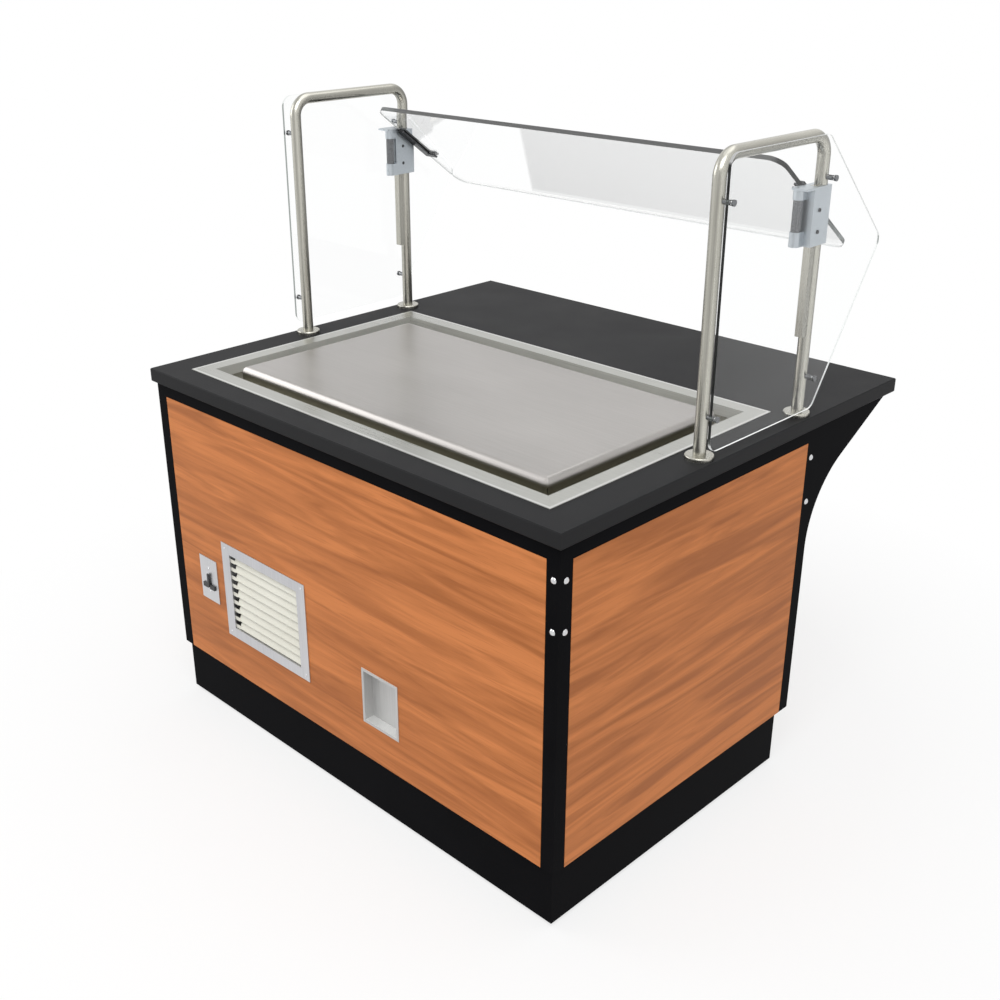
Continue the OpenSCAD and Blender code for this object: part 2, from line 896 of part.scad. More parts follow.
module drain_pipe() {
    top = gutter_z - sheet_t;
    color([0.7, 0.55, 0.3])
        difference() {
            union() {
                translate([drain_x, drain_y, drain_end]) cylinder(h = top - drain_end, r = drain_r);
                translate([drain_x, drain_y, top - 6]) cylinder(h = 6, r = drain_r + 6);
                translate([drain_x, drain_y, valve_z - valve_h / 2])
                    cylinder(h = valve_h, r = valve_r, $fn = 6);
                translate([drain_x, drain_y, valve_z]) sphere(r = valve_ball);
                rod_y(drain_x, drain_y, drain_y + valve_r + 16, valve_z, 8);
                rod_y(drain_x, drain_y, drain_y + valve_r + 26, valve_z, stem_r);
                translate([drain_x, drain_y, deck_top]) cylinder(h = 4, r = drain_r + 8);
            }
            translate([drain_x, drain_y, drain_end - 1])
                cylinder(h = top - drain_end + 2, r = drain_r - pipe_t);
        }
}

// A quarter-turn lever on the valve's stem
module valve_handle() {
    y0 = drain_y + valve_r + 16.5;
    color([0.7, 0.08, 0.06])
        difference() {
            union() {
                rod_y(drain_x, y0, y0 + 8, valve_z, 9);
                block([drain_x - 78, y0, valve_z - 8], [drain_x, y0 + 4, valve_z + 8]);
                rod_y(drain_x - 78, y0, y0 + 4, valve_z, 8);
            }
            rod_y(drain_x, y0 - 1, y0 + 10, valve_z, stem_r + run_fit);
        }
}

// ----------------------------------------------------------- cooling unit

module condenser() {
    w = condenser_w / 2;
    fin_rows = 5;
    plate = 2;
    color([0.55, 0.57, 0.58]) {
        for (x = [unit_x - w, unit_x + w - plate]) {
            block([x, condenser_y, deck_top], [x + plate, shroud_y, deck_top + condenser_h]);
        }
        block(
            [unit_x - w, condenser_y + 6, deck_top + 10],
            [unit_x + w, shroud_y - 6, deck_top + condenser_h - 10]
        );
        for (i = [0 : fin_rows - 1]) {
            z = deck_top + 10 + (i + 0.5) * (condenser_h - 20) / fin_rows;
            for (x = [unit_x - w, unit_x + w]) {
                rod_y(x, condenser_y + 12, shroud_y - 12, z, 6);
            }
        }
    }
}

// A square duct on the condenser, with a round throat and a spider for the motor
module fan_shroud() {
    w = condenser_w / 2;
    y1 = shroud_y + shroud_d;
    t = shroud_t;
    color([0.1, 0.1, 0.11])
        difference() {
            union() {
                difference() {
                    block([unit_x - w, shroud_y, deck_top], [unit_x + w, y1, deck_top + condenser_h]);
                    block(
                        [unit_x - w + t, shroud_y - 1, deck_top + t],
                        [unit_x + w - t, y1 - t, deck_top + condenser_h - t]
                    );
                }
                rod_y(unit_x, fan_y - 18, y1, fan_z, fan_d / 2 + 5);
            }
            rod_y(unit_x, fan_y - 20, y1 + 1, fan_z, fan_d / 2 + 3);
        }
    color([0.1, 0.1, 0.11])
        difference() {
            for (a = [45, 135, 225, 315]) {
                translate([unit_x, y1, fan_z]) rotate([0, a, 0])
                    block([motor_r - 4, 0, -6], [fan_d / 2 + 14, 14, 6]);
            }
            rod_y(unit_x, y1 - 1, y1 + 20, fan_z, motor_r - 3.7);
        }
}

module fan_motor() {
    color([0.25, 0.26, 0.27]) {
        rod_y(unit_x, motor_y, motor_y + 70, fan_z, motor_r);
        rod_y(unit_x, motor_y - 14, motor_y, fan_z, 26);
        rod_y(unit_x, fan_y - 4, motor_y, fan_z, shaft_r);
    }
}

// Five pitched blades round a hub
module fan_blade() {
    blades = 5;
    tip = fan_d / 2 - 2;
    color([0.35, 0.36, 0.38])
        difference() {
            union() {
                rod_y(unit_x, fan_y, fan_y + hub_h, fan_z, hub_r);
                for (i = [0 : blades - 1]) {
                    translate([unit_x, fan_y + hub_h / 2, fan_z])
                        rotate([0, i * 360 / blades, 0])
                            rotate([28, 0, 0])
                                fan_petal(tip);
                }
            }
            rod_y(unit_x, fan_y - 1, fan_y + hub_h + 2, fan_z, shaft_r + run_fit);
        }
}

module fan_petal(tip) {
    t = 1.6;
    rotate([90, 0, 0])
        translate([0, 0, -t / 2])
            linear_extrude(t)
                intersection() {
                    polygon([[hub_r - 6, -10], [tip * 1.1, -34], [tip * 1.1, 34], [hub_r - 6, 10]]);
                    circle(r = tip * 0.985, $fn = 96);
                }
}

// A hermetic compressor: a domed can on four rubber feet
module compressor() {
    r = compressor_d / 2;
    foot_h = 16;
    dome = 42;
    color([0.07, 0.07, 0.08])
        translate([unit_x, compressor_y, deck_top]) {
            translate([0, 0, foot_h]) {
                rotate_extrude()
                    polygon(concat(
                        [[0, 6], [r - 22, 6], [r - 6, 18], [r, 34]],
                        [for (a = [0 : 10 : 90]) [r * cos(a), compressor_h - foot_h - dome + dome * sin(a)]]
                    ));
                translate([0, 0, 4]) cylinder(h = 4, r = 30);
                block([-r - 12, -r * 0.62, 0], [r + 12, r * 0.62, 4.5]);
            }
            for (x = [-r, r]) {
                for (y = [-r * 0.45, r * 0.45]) {
                    translate([x, y, 0]) cylinder(h = foot_h, r = 11);
                }
            }
        }
}

// Copper lines from the compressor and the condenser to the two ends of the coil
module refrigerant_lines() {
    can_top = deck_top + compressor_h;
    high = deck_top + condenser_h;
    side = 30;
    rise = 150;
    lift = 60;
    color([0.72, 0.43, 0.25]) {
        line_run([
            [unit_x - side, compressor_y, can_top + 0.2],
            [unit_x - side, compressor_y, can_top + rise],
            [line_x, compressor_y, can_top + rise],
            [line_x, line_ys[1], can_top + rise],
            [line_x, line_ys[1], coil_z]
        ]);
        line_run([
            [unit_x - 2 * side, shroud_y - condenser_t / 2, high - 9.8],
            [unit_x - 2 * side, shroud_y - condenser_t / 2, high + lift],
            [line_x, shroud_y - condenser_t / 2, high + lift],
            [line_x, line_ys[0], high + lift],
            [line_x, line_ys[0], coil_z]
        ]);
        for (y = line_ys) {
            rod_x(line_x, -coil_half - 0.05, y, coil_z, coil_tube_d / 2);
        }
    }
}

// Straight runs of tube from point to point, with round joints at the bends
module line_run(points) {
    r = coil_tube_d / 2;
    for (i = [0 : len(points) - 2]) {
        v = points[i + 1] - points[i];
        translate(points[i])
            rotate([0, acos(v[2] / norm(v)), atan2(v[1], v[0])])
                cylinder(h = norm(v), r = r);
        translate(points[i + 1]) sphere(r = r, $fn = 24);
    }
}

gland_r = 10;
gland_x = -caster_x + beam_w / 2 + 60;
gland_y = body_y1 - 160;

// The screwed gland in the floor where the supply cord would leave
module cord_gland() {
    color([0.08, 0.08, 0.09])
        translate([gland_x, gland_y, 0])
            difference() {
                union() {
                    translate([0, 0, deck_z - 26]) cylinder(h = 26 + steel_t + 8, r = gland_r);
                    translate([0, 0, deck_z - 8]) cylinder(h = 8, r = gland_r + 5, $fn = 6);
                    translate([0, 0, deck_top]) cylinder(h = 5, r = gland_r + 5, $fn = 6);
                }
                translate([0, 0, deck_z - 30]) cylinder(h = 60, r = 5);
            }
}

// ---------------------------------------------------------------- casters

module at_casters() {
    for (x = [-caster_x, caster_x]) {
        for (y = [caster_y0, caster_y1]) {
            translate([x, y, 0]) children();
        }
    }
}

module caster_plates() {
    color([0.62, 0.63, 0.65])
        at_casters() {
            translate([-48, -42, caster_h - plate_thick]) cube([96, 84, plate_thick]);
            translate([0, 0, caster_h - plate_thick - race_h - 2])
                cylinder(h = race_h + 3, r = king_r);
        }
}

// A pressed fork: a raceway dish on top and a tapered leg on each side of the wheel
module caster_fork(x, y, braked) {
    top = caster_h - plate_thick - slip;
    yoke = top - race_h;
    color([0.66, 0.67, 0.69])
        translate([x, y, 0]) {
            difference() {
                union() {
                    translate([0, 0, yoke]) cylinder(h = race_h, r = race_r);
                    block(
                        [-fork_x - fork_t, -race_r - 8, yoke - fork_t],
                        [fork_x + fork_t, race_r, yoke + 0.01]
                    );
                    for (side = [-1, 1]) {
                        fork_leg(side, yoke);
                    }
                    if (braked) {
                        pedal_lugs(yoke);
                    }
                }
                translate([0, 0, yoke - fork_t - 1])
                    cylinder(h = race_h + fork_t + 2, r = king_r + run_fit);
            }
            rod_x(-fork_x - fork_t - 4, fork_x + fork_t + 4, -caster_trail, axle_z, axle_r);
            for (x0 = [-fork_x - fork_t - 5, fork_x + fork_t]) {
                translate([x0, -caster_trail, axle_z]) rotate([0, 90, 0]) cylinder(h = 5, r = 9, $fn = 6);
            }
        }
}

// Two lugs behind the fork that hold the pedal's pin
module pedal_lugs(yoke) {
    for (x0 = [-fork_x - fork_t, fork_x]) {
        translate([x0, 0, 0])
            rotate([90, 0, 90])
                linear_extrude(fork_t) {
                    polygon([
                        [-race_r - 8, yoke], [pedal_y, pedal_z + 6], [pedal_y, pedal_z - 6],
                        [-race_r - 14, yoke - 26]
                    ]);
                    translate([pedal_y, pedal_z]) circle(r = 6);
                }
    }
    rod_x(-fork_x - fork_t - 1, fork_x + fork_t + 1, pedal_y, pedal_z, pedal_r);
}

module fork_leg(side, yoke) {
    x0 = side > 0 ? fork_x : -fork_x - fork_t;
    translate([x0, 0, 0])
        rotate([90, 0, 90])
            linear_extrude(fork_t) {
                polygon([
                    [-race_r - 8, yoke], [race_r, yoke], [race_r - 6, yoke - 12],
                    [-caster_trail + 12, axle_z - 2], [-caster_trail - 12, axle_z - 2],
                    [-race_r - 14, yoke - 26]
                ]);
                translate([-caster_trail, axle_z]) circle(r = 12.2);
            }
}

// A wheel turned as one profile: a hub, a web and a rounded tread
module caster_wheel(x, y) {
    r = wheel_d / 2;
    w = wheel_w / 2;
    soft = 5;
    web = 7;
    color([0.12, 0.12, 0.13])
        translate([x, y - caster_trail, axle_z])
            rotate([0, 90, 0])
                rotate_extrude($fn = 96)
                    polygon(concat(
                        [[axle_r + run_fit, -w - fork_gap + slip], [13, -w - fork_gap + slip], [14, -web]],
                        [[r - 14, -web], [r - 11, -w]],
                        [for (a = [-90 : 15 : 0]) [r - soft + soft * cos(a), -w + soft + soft * sin(a)]],
                        [for (a = [0 : 15 : 90]) [r - soft + soft * cos(a), w - soft + soft * sin(a)]],
                        [[r - 11, w], [r - 14, web], [14, web]],
                        [[13, w + fork_gap - slip], [axle_r + run_fit, w + fork_gap - slip]]
                    ));
}

// A foot pedal that turns on the pin behind the fork and presses on the wheel
module brake_pedal(x, y) {
    w = fork_x - slip;
    tread = 22;
    color([0.75, 0.1, 0.08])
        translate([x, y, 0])
            difference() {
                union() {
                    rod_x(-w, w, pedal_y, pedal_z, pedal_r + 2.8);
                    block([-w, pedal_y - tread, pedal_z + 0.5], [w, pedal_y, pedal_z + 5.8]);
                    rod_x(-w, w, pedal_y - tread, pedal_z + 2.8, 3);
                }
                rod_x(-w - 1, w + 1, pedal_y, pedal_z, pedal_r + run_fit);
            }
}

// ------------------------------------------------------------------ guard

// The tube's section
module tube_ring() {
    difference() {
        circle(r = tube_r);
        circle(r = tube_r - tube_t);
    }
}

// One bent tube: two legs, two bends and the run across the top
module guard_frame() {
    top = counter_h + guard_h;
    color([0.72, 0.72, 0.68]) {
        for (y = [post_y0, post_y1]) {
            translate([guard_x, y, counter_h]) linear_extrude(guard_h - bend_r) tube_ring();
        }
        translate([guard_x, post_y0 + bend_r, top]) rotate([-90, 0, 0])
            linear_extrude(post_y1 - post_y0 - 2 * bend_r) tube_ring();
        translate([guard_x, post_y0 + bend_r, top - bend_r]) rotate([90, 0, 90])
            rotate([0, 0, 90]) rotate_extrude(angle = 90) translate([bend_r, 0]) tube_ring();
        translate([guard_x, post_y1 - bend_r, top - bend_r]) rotate([90, 0, 90])
            rotate_extrude(angle = 90) translate([bend_r, 0]) tube_ring();
    }
}

module post_flanges() {
    lip = 3;
    color([0.76, 0.76, 0.73])
        both_ends()
            for (y = [post_y0, post_y1]) {
                translate([guard_x, y, counter_h])
                    rotate_extrude()
                        polygon(concat(
                            [[tube_r + run_fit, 0], [flange_r, 0]],
                            [for (a = [0 : 18 : 90])
                                [flange_r - lip + lip * cos(a), flange_t - lip + lip * sin(a)]],
                            [[tube_r + run_fit, flange_t]]
                        ));
            }
}

// The outline of the end glass in the Y-Z plane, and the radius of each corner
glass_y0 = post_y0 - tube_r - 1;
glass_z0 = counter_h + glass_foot;
glass_z1 = counter_h + guard_h + 6;
glass_outline = [
    [glass_y0, glass_z0],
    [post_y1 + 4, glass_z0],
    [post_y1 + glass_nose, counter_h + nose_z],
    [post_y1 - 31, glass_z1],
    [glass_y0, glass_z1]
];

// The centre of the round that fits a corner p between its neighbours a and b
function round_centre(a, p, b, r) =
    let (u = (a - p) / norm(a - p), v = (b - p) / norm(b - p))
    let (half = acos(u * v) / 2)
    p + (u + v) / norm(u + v) * r / sin(half);

standoffs = [
    for (y = [post_y0, post_y1]) for (z = [standoff_low, standoff_high]) [y, counter_h + z]
];

module end_glass() {
    color([0.75, 0.85, 0.82, 0.35])
        difference() {
            hull()
                for (i = [0 : 4]) {
                    c = round_centre(
                        glass_outline[(i + 4) % 5], glass_outline[i], glass_outline[(i + 1) % 5], glass_r
                    );
                    rod_x(glass_in, glass_out, c[0], c[1], glass_r);
                }
            for (s = standoffs) {
                rod_x(glass_in - 1, glass_out + 1, s[0], s[1], standoff_r + screw_fit);
            }
        }
}

// A neck from the tube to the glass, a screw through the glass and a domed cap
module glass_standoffs() {
    color([0.3, 0.31, 0.32])
        both_ends()
            for (s = standoffs) {
                difference() {
                    union() {
                        rod_x(guard_x, glass_in, s[0], s[1], neck_r);
                        rod_x(glass_in - 0.01, glass_out + 0.01, s[0], s[1], standoff_r);
                        rod_x(glass_out, glass_out + cap_t, s[0], s[1], cap_r);
                    }
                    translate([guard_x, s[0], s[1] - 20]) cylinder(h = 40, r = tube_r + run_fit);
                }
            }
}

// ------------------------------------------------------------ front glass

// A rail along the operator's side of each rear post, for the clamps to slide on
module adjuster_rails() {
    y0 = post_y1 - tube_r - rail_d;
    color([0.66, 0.67, 0.68])
        both_ends()
            difference() {
                block([guard_x - rail_w / 2, y0, rail_bottom], [guard_x + rail_w / 2, post_y1, clamp_top]);
                translate([guard_x, post_y1, rail_bottom - 1])
                    cylinder(h = clamp_top - rail_bottom + 2, r = tube_r + run_fit);
            }
}

// A clamp round each rear post and its rail, with two ears for the grip
module post_clamp() {
    y_rail = post_y1 - tube_r - rail_d;
    ear_high = clamp_h - ear_low - knob_h - 2 * slip;
    difference() {
        union() {
            block([clamp_x0, clamp_y0, clamp_z], [clamp_x1, clamp_y1, clamp_top]);
            for (z = [[clamp_z, clamp_z + ear_low], [clamp_top - ear_high, clamp_top]]) {
                block([ear_x - ear_r, ear_y, z[0]], [ear_x + ear_r, clamp_y0 + 1, z[1]]);
                translate([ear_x, ear_y, z[0]]) cylinder(h = z[1] - z[0], r = ear_r);
            }
            block([clamp_x0, ear_y - ear_r - 3, clamp_top - 4], [clamp_x1, clamp_y0 + 1, clamp_top]);
        }
        translate([guard_x, post_y1, clamp_z - 1]) cylinder(h = clamp_h + 2, r = tube_r + slip);
        block(
            [guard_x - rail_w / 2 - slip, y_rail - slip, clamp_z - 1],
            [guard_x + rail_w / 2 + slip, post_y1, clamp_top + 1]
        );
        rod_x(clamp_x0 - 1, clamp_x0 + 6, pivot_y, pivot_h, pin_r + run_fit);
        translate([ear_x, ear_y, knob_z - 12]) cylinder(h = knob_h + 24, r = knob_shaft_r + run_fit);
        for (z = screw_zs) {
            rod_x(clamp_x0 - 1, clamp_x1 + 1, screw_y, z, screw_r + run_fit);
        }
    }
}

module post_clamps() {
    color([0.7, 0.72, 0.75]) both_ends() post_clamp();
}

screw_r = 4;
screw_y = post_y1 - tube_r - rail_d / 2;
screw_low = 27;
screw_high = 69;
screw_zs = [clamp_z + screw_low, clamp_z + screw_high];

// Socket set screws that bear on the rail from both sides of each clamp
module clamp_screws() {
    rail_side = rail_w / 2 + slip;
    socket = 2.5;
    color([0.12, 0.12, 0.13])
        both_ends()
            for (z = screw_zs) {
                difference() {
                    rod_x(guard_x + rail_side, clamp_x1 + 1.5, screw_y, z, screw_r);
                    translate([clamp_x1 + 1.5 - socket, screw_y, z]) rotate([0, 90, 0])
                        cylinder(h = 4, r = 2.2, $fn = 6);
                }
                difference() {
                    rod_x(clamp_x0, guard_x - rail_side, screw_y, z, screw_r);
                    translate([clamp_x0 + socket - 4, screw_y, z]) rotate([0, 90, 0])
                        cylinder(h = 4, r = 2.2, $fn = 6);
                }
            }
}

// The place of what tilts with the glass: X across, Y down the slope from the pivot
module on_glass() {
    translate([0, pivot_y, pivot_h]) rotate([-glass_slope, 0, 0]) children();
}

module glass_arm() {
    on_glass() {
        difference() {
            union() {
                block([arm_x1 - arm_w, -arm_up, -arm_t / 2], [arm_x1, arm_down, arm_t / 2]);
                block([arm_x1 - arm_w - arm_tab, arm_down - 14, -arm_t / 2], [arm_x1, arm_down, arm_t / 2]);
            }
            block(
                [arm_x1 - arm_w - arm_tab - 1, -arm_up - 1, -front_glass_t / 2 - 0.1],
                [front_glass_x + 0.3, arm_down + 1, front_glass_t / 2 + 0.1]
            );
        }
        rod_x(arm_x1 - 1, clamp_x0 + 5, 0, 0, pin_r);
    }
}

module glass_arms() {
    color([0.28, 0.29, 0.31]) both_ends() glass_arm();
}

module front_glass() {
    r = 32;
    down = front_glass_w - front_glass_up;
    color([0.75, 0.85, 0.82, 0.35])
        on_glass()
            hull()
                for (x = [-front_glass_x + r, front_glass_x - r]) {
                    for (y = [-front_glass_up + r, down - r]) {
                        translate([x, y, -front_glass_t / 2]) cylinder(h = front_glass_t, r = r);
                    }
                }
}

// A fluted grip between the clamp's ears, with a shaft in both of them
module clamp_knob() {
    flutes = 8;
    difference() {
        union() {
            translate([ear_x, ear_y, knob_z]) cylinder(h = knob_h, r = knob_d / 2);
            translate([ear_x, ear_y, knob_z - 10]) cylinder(h = knob_h + 20, r = knob_shaft_r);
        }
        for (i = [0 : flutes - 1]) {
            translate([ear_x, ear_y, knob_z + 5])
                rotate([0, 0, (i + 0.5) * 360 / flutes])
                    translate([knob_d / 2 + 1, 0, 0]) cylinder(h = knob_h - 10, r = 2.2);
        }
    }
}

module clamp_knob_right() {
    color([0.45, 0.47, 0.49]) clamp_knob();
}

module clamp_knob_left() {
    color([0.45, 0.47, 0.49]) mirror([1, 0, 0]) clamp_knob();
}

// ------------------------------------------------------------------- nodes

countertop();
top_frame();
corner_post(-1, false);  // corner_post_front_left
corner_post(1, false);  // corner_post_front_right
corner_post(-1, true);  // corner_post_rear_left
corner_post(1, true);  // corner_post_rear_right
corner_bolts();
operator_panel();
end_panel(-1);  // end_panel_left
end_panel(1);  // end_panel_right
customer_panel();
base_frame();
base_deck();
toe_kick();
shelf_bracket(-1);  // shelf_bracket_left
shelf_bracket(1);  // shelf_bracket_right
vent_frame();
vent_louvers();
switch_plate();
switch_body();
toggle_lever();
recess_pocket();
well_rim();
cold_slab();
well_shell();
well_insulation();
evaporator_coil();
drain_pipe();
valve_handle();
condenser();
fan_shroud();
fan_motor();
fan_blade();
compressor();
refrigerant_lines();
cord_gland();
caster_plates();
caster_fork(-caster_x, caster_y0, true);  // caster_fork_front_left
caster_fork(caster_x, caster_y0, true);  // caster_fork_front_right
caster_fork(-caster_x, caster_y1, false);  // caster_fork_rear_left
caster_fork(caster_x, caster_y1, false);  // caster_fork_rear_right
caster_wheel(-caster_x, caster_y0);  // caster_wheel_front_left
caster_wheel(caster_x, caster_y0);  // caster_wheel_front_right
caster_wheel(-caster_x, caster_y1);  // caster_wheel_rear_left
caster_wheel(caster_x, caster_y1);  // caster_wheel_rear_right
brake_pedal(-caster_x, caster_y0);  // brake_pedal_left
brake_pedal(caster_x, caster_y0);  // brake_pedal_right
mirror([1, 0, 0]) guard_frame();  // guard_frame_left
guard_frame();  // guard_frame_right
post_flanges();
mirror([1, 0, 0]) end_glass();  // end_glass_left
end_glass();  // end_glass_right
glass_standoffs();
adjuster_rails();
post_clamps();
clamp_screws();
glass_arms();
front_glass();
clamp_knob_left();
clamp_knob_right();
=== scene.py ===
"""A mobile salad bar: finishes, small hardware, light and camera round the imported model."""

import math

import bmesh
import bpy
from mathutils import Euler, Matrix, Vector


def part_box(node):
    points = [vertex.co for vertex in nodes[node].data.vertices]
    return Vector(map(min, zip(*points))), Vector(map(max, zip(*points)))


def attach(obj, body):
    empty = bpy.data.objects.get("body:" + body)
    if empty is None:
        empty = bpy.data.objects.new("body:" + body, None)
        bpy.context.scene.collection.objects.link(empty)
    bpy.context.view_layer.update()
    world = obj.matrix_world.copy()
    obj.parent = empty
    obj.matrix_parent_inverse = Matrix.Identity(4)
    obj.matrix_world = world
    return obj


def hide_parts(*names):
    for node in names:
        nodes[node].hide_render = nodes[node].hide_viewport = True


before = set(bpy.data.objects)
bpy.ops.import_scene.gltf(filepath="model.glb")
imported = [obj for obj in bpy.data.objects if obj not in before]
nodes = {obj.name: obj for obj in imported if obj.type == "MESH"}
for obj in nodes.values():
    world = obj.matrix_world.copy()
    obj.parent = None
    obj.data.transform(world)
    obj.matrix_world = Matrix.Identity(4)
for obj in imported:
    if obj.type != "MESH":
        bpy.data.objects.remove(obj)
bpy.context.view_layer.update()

# The switch plate and the vent, as the solids have them. All lengths are in metres.
PLATE_LOW, PLATE_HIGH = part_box("switch_plate")
VENT_LOW, VENT_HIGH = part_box("vent_frame")
LOUVER_LOW, LOUVER_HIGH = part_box("vent_louvers")


# ---------------------------------------------------------------- node helpers

def add(tree, kind, **settings):
    """A new node in a tree, with its plain properties set."""
    made = tree.nodes.new(kind)
    for key, value in settings.items():
        setattr(made, key, value)
    return made


def link(tree, source, target):
    tree.links.new(source, target)


def put(node, **values):
    """Sets inputs by name, with _ for a space."""
    for key, value in values.items():
        node.inputs[key.replace("_", " ")].default_value = value


def new_group(name, inputs, outputs):
    """An empty shader node group; inputs and outputs are (name, socket type, default)."""
    tree = bpy.data.node_groups.new(name, "ShaderNodeTree")
    for label, kind, default in inputs:
        made = tree.interface.new_socket(label, in_out="INPUT", socket_type=kind)
        if default is not None:
            made.default_value = default
    for label, kind in outputs:
        tree.interface.new_socket(label, in_out="OUTPUT", socket_type=kind)
    return tree, add(tree, "NodeGroupInput"), add(tree, "NodeGroupOutput")


def math_node(tree, operation, first, second):
    """A Math node; first and second are sockets or numbers."""
    made = add(tree, "ShaderNodeMath", operation=operation)
    for slot, value in enumerate((first, second)):
        if hasattr(value, "is_output"):
            link(tree, value, made.inputs[slot])
        else:
            made.inputs[slot].default_value = value
    return made.outputs[0]


def weighted(tree, first, share, second):
    """first and second added up, with share of the first and the rest of the second."""
    shares = ((first, share), (second, round(1.0 - share, 6)))
    return math_node(tree, "ADD", *[math_node(tree, "MULTIPLY", *pair) for pair in shares])


def noise(tree, vector, scale, detail=3.0, rough=0.5, distortion=0.0):
    """A noise texture's value; scale is a socket or a number."""
    made = add(tree, "ShaderNodeTexNoise")
    link(tree, vector, made.inputs["Vector"])
    if hasattr(scale, "is_output"):
        link(tree, scale, made.inputs["Scale"])
    else:
        made.inputs["Scale"].default_value = scale
    put(made, Detail=detail, Roughness=rough, Distortion=distortion)
    return made.outputs["Fac"]


def mapped(tree, vector, **settings):
    """A vector moved, turned or scaled by a Mapping node."""
    made = add(tree, "ShaderNodeMapping")
    link(tree, vector, made.inputs["Vector"])
    put(made, **settings)
    return made.outputs["Vector"]


def stretched(tree, vector, scale):
    return mapped(tree, vector, Scale=scale)


def turned(tree, vector, turn):
    """A vector turned by three angles in degrees."""
    return mapped(tree, vector, Rotation=[math.radians(angle) for angle in turn])


def separated(tree, vector):
    """The three outputs X, Y and Z of a vector."""
    made = add(tree, "ShaderNodeSeparateXYZ")
    link(tree, vector, made.inputs["Vector"])
    return made.outputs


def facing(tree):
    """Which way the surface looks, in the piece's own frame."""
    return add(tree, "ShaderNodeTexCoord").outputs["Normal"]


def along(tree, vector, direction):
    """How far a vector points along a direction."""
    made = add(tree, "ShaderNodeVectorMath", operation="DOT_PRODUCT")
    link(tree, vector, made.inputs[0])
    made.inputs[1].default_value = direction
    return made.outputs["Value"]


def source_of(shader, name):
    """The socket that feeds an input of the shader so far."""
    return shader.inputs[name].links[0].from_socket


def remap(tree, value, low, high, to_low=0.0, to_high=1.0):
    """A value's range low to high, spread over another and clamped to it."""
    made = add(tree, "ShaderNodeMapRange", clamp=True)
    link(tree, value, made.inputs["Value"])
    put(made, From_Min=low, From_Max=high, To_Min=to_low, To_Max=to_high)
    return made.outputs["Result"]


def mix_colour(tree, factor, first, second):
    """first and second are colours or colour sockets."""
    made = add(tree, "ShaderNodeMix", data_type="RGBA")
    link(tree, factor, made.inputs[0])
    for slot, value in ((6, first), (7, second)):
        if hasattr(value, "is_output"):
            link(tree, value, made.inputs[slot])
        else:
            made.inputs[slot].default_value = (*value, 1.0)
    return made.outputs[2]


# --------------------------------------------------------------- shared effects

def build_brushed():
    """Fine scratch lines along X with a slow cloud over them; the caller turns the vector."""
    tree, ins, outs = new_group(
        "brushed_lines",
        [("Vector", "NodeSocketVector", None), ("Fineness", "NodeSocketFloat", 900.0)],
        [("Tone", "NodeSocketFloat"), ("Height", "NodeSocketFloat")],
    )
    vector = ins.outputs["Vector"]
    drawn_out = stretched(tree, vector, (0.012, 1.0, 1.0))
    lines = noise(tree, drawn_out, ins.outputs["Fineness"], 4.0, 0.6)
    cloud = noise(tree, stretched(tree, vector, (0.5, 1.0, 1.0)), 6.0, 2.0)
    link(tree, remap(tree, weighted(tree, lines, 0.6, cloud), 0.35, 0.65), outs.inputs["Tone"])
    link(tree, lines, outs.inputs["Height"])
    return tree


def build_speckle():
    """Fine grit with a slow cloud, for cast sheet, paint, rubber and moulded parts."""
    tree, ins, outs = new_group(
        "fine_speckle",
        [("Vector", "NodeSocketVector", None), ("Fineness", "NodeSocketFloat", 700.0)],
        [("Tone", "NodeSocketFloat"), ("Height", "NodeSocketFloat")],
    )
    grit = noise(tree, ins.outputs["Vector"], ins.outputs["Fineness"], 2.0, 0.7)
    cloud = noise(tree, ins.outputs["Vector"], 7.0, 3.0)
    link(tree, remap(tree, weighted(tree, grit, 0.65, cloud), 0.38, 0.62), outs.inputs["Tone"])
    link(tree, grit, outs.inputs["Height"])
    return tree


def build_grain():
    """Level wood figure along X: broad streaks, narrow dark veins and pores."""
    tree, ins, outs = new_group(
        "wood_figure",
        [("Vector", "NodeSocketVector", None)],
        [("Broad", "NodeSocketFloat"), ("Vein", "NodeSocketFloat"), ("Pore", "NodeSocketFloat")],
    )
    vector = ins.outputs["Vector"]
    wide = noise(tree, stretched(tree, vector, (0.45, 1.0, 5.0)), 1.6, 2.0, 0.5, 0.5)
    band = noise(tree, stretched(tree, vector, (1.3, 1.0, 17.0)), 1.6, 3.0, 0.5, 1.3)
    vein = noise(tree, stretched(tree, vector, (1.5, 1.0, 44.0)), 1.3, 3.0, 0.55, 0.9)
    pore = noise(tree, stretched(tree, vector, (14.0, 30.0, 620.0)), 1.0, 2.0, 0.6)
    link(tree, remap(tree, weighted(tree, wide, 0.3, band), 0.38, 0.60), outs.inputs["Broad"])
    link(tree, remap(tree, vein, 0.46, 0.76), outs.inputs["Vein"])
    link(tree, remap(tree, pore, 0.58, 0.72), outs.inputs["Pore"])
    return tree


BRUSHED = build_brushed()
SPECKLE = build_speckle()
GRAIN = build_grain()


# -------------------------------------------------------------------- finishes

FINISHES = {}


def new_material(name):
    """An empty material: (material, tree, shader, object coordinates)."""
    made = bpy.data.materials.new(name)
    made.use_nodes = True
    tree = made.node_tree
    shader = tree.nodes["Principled BSDF"]
    place = add(tree, "ShaderNodeTexCoord")
    return made, tree, shader, place.outputs["Object"]


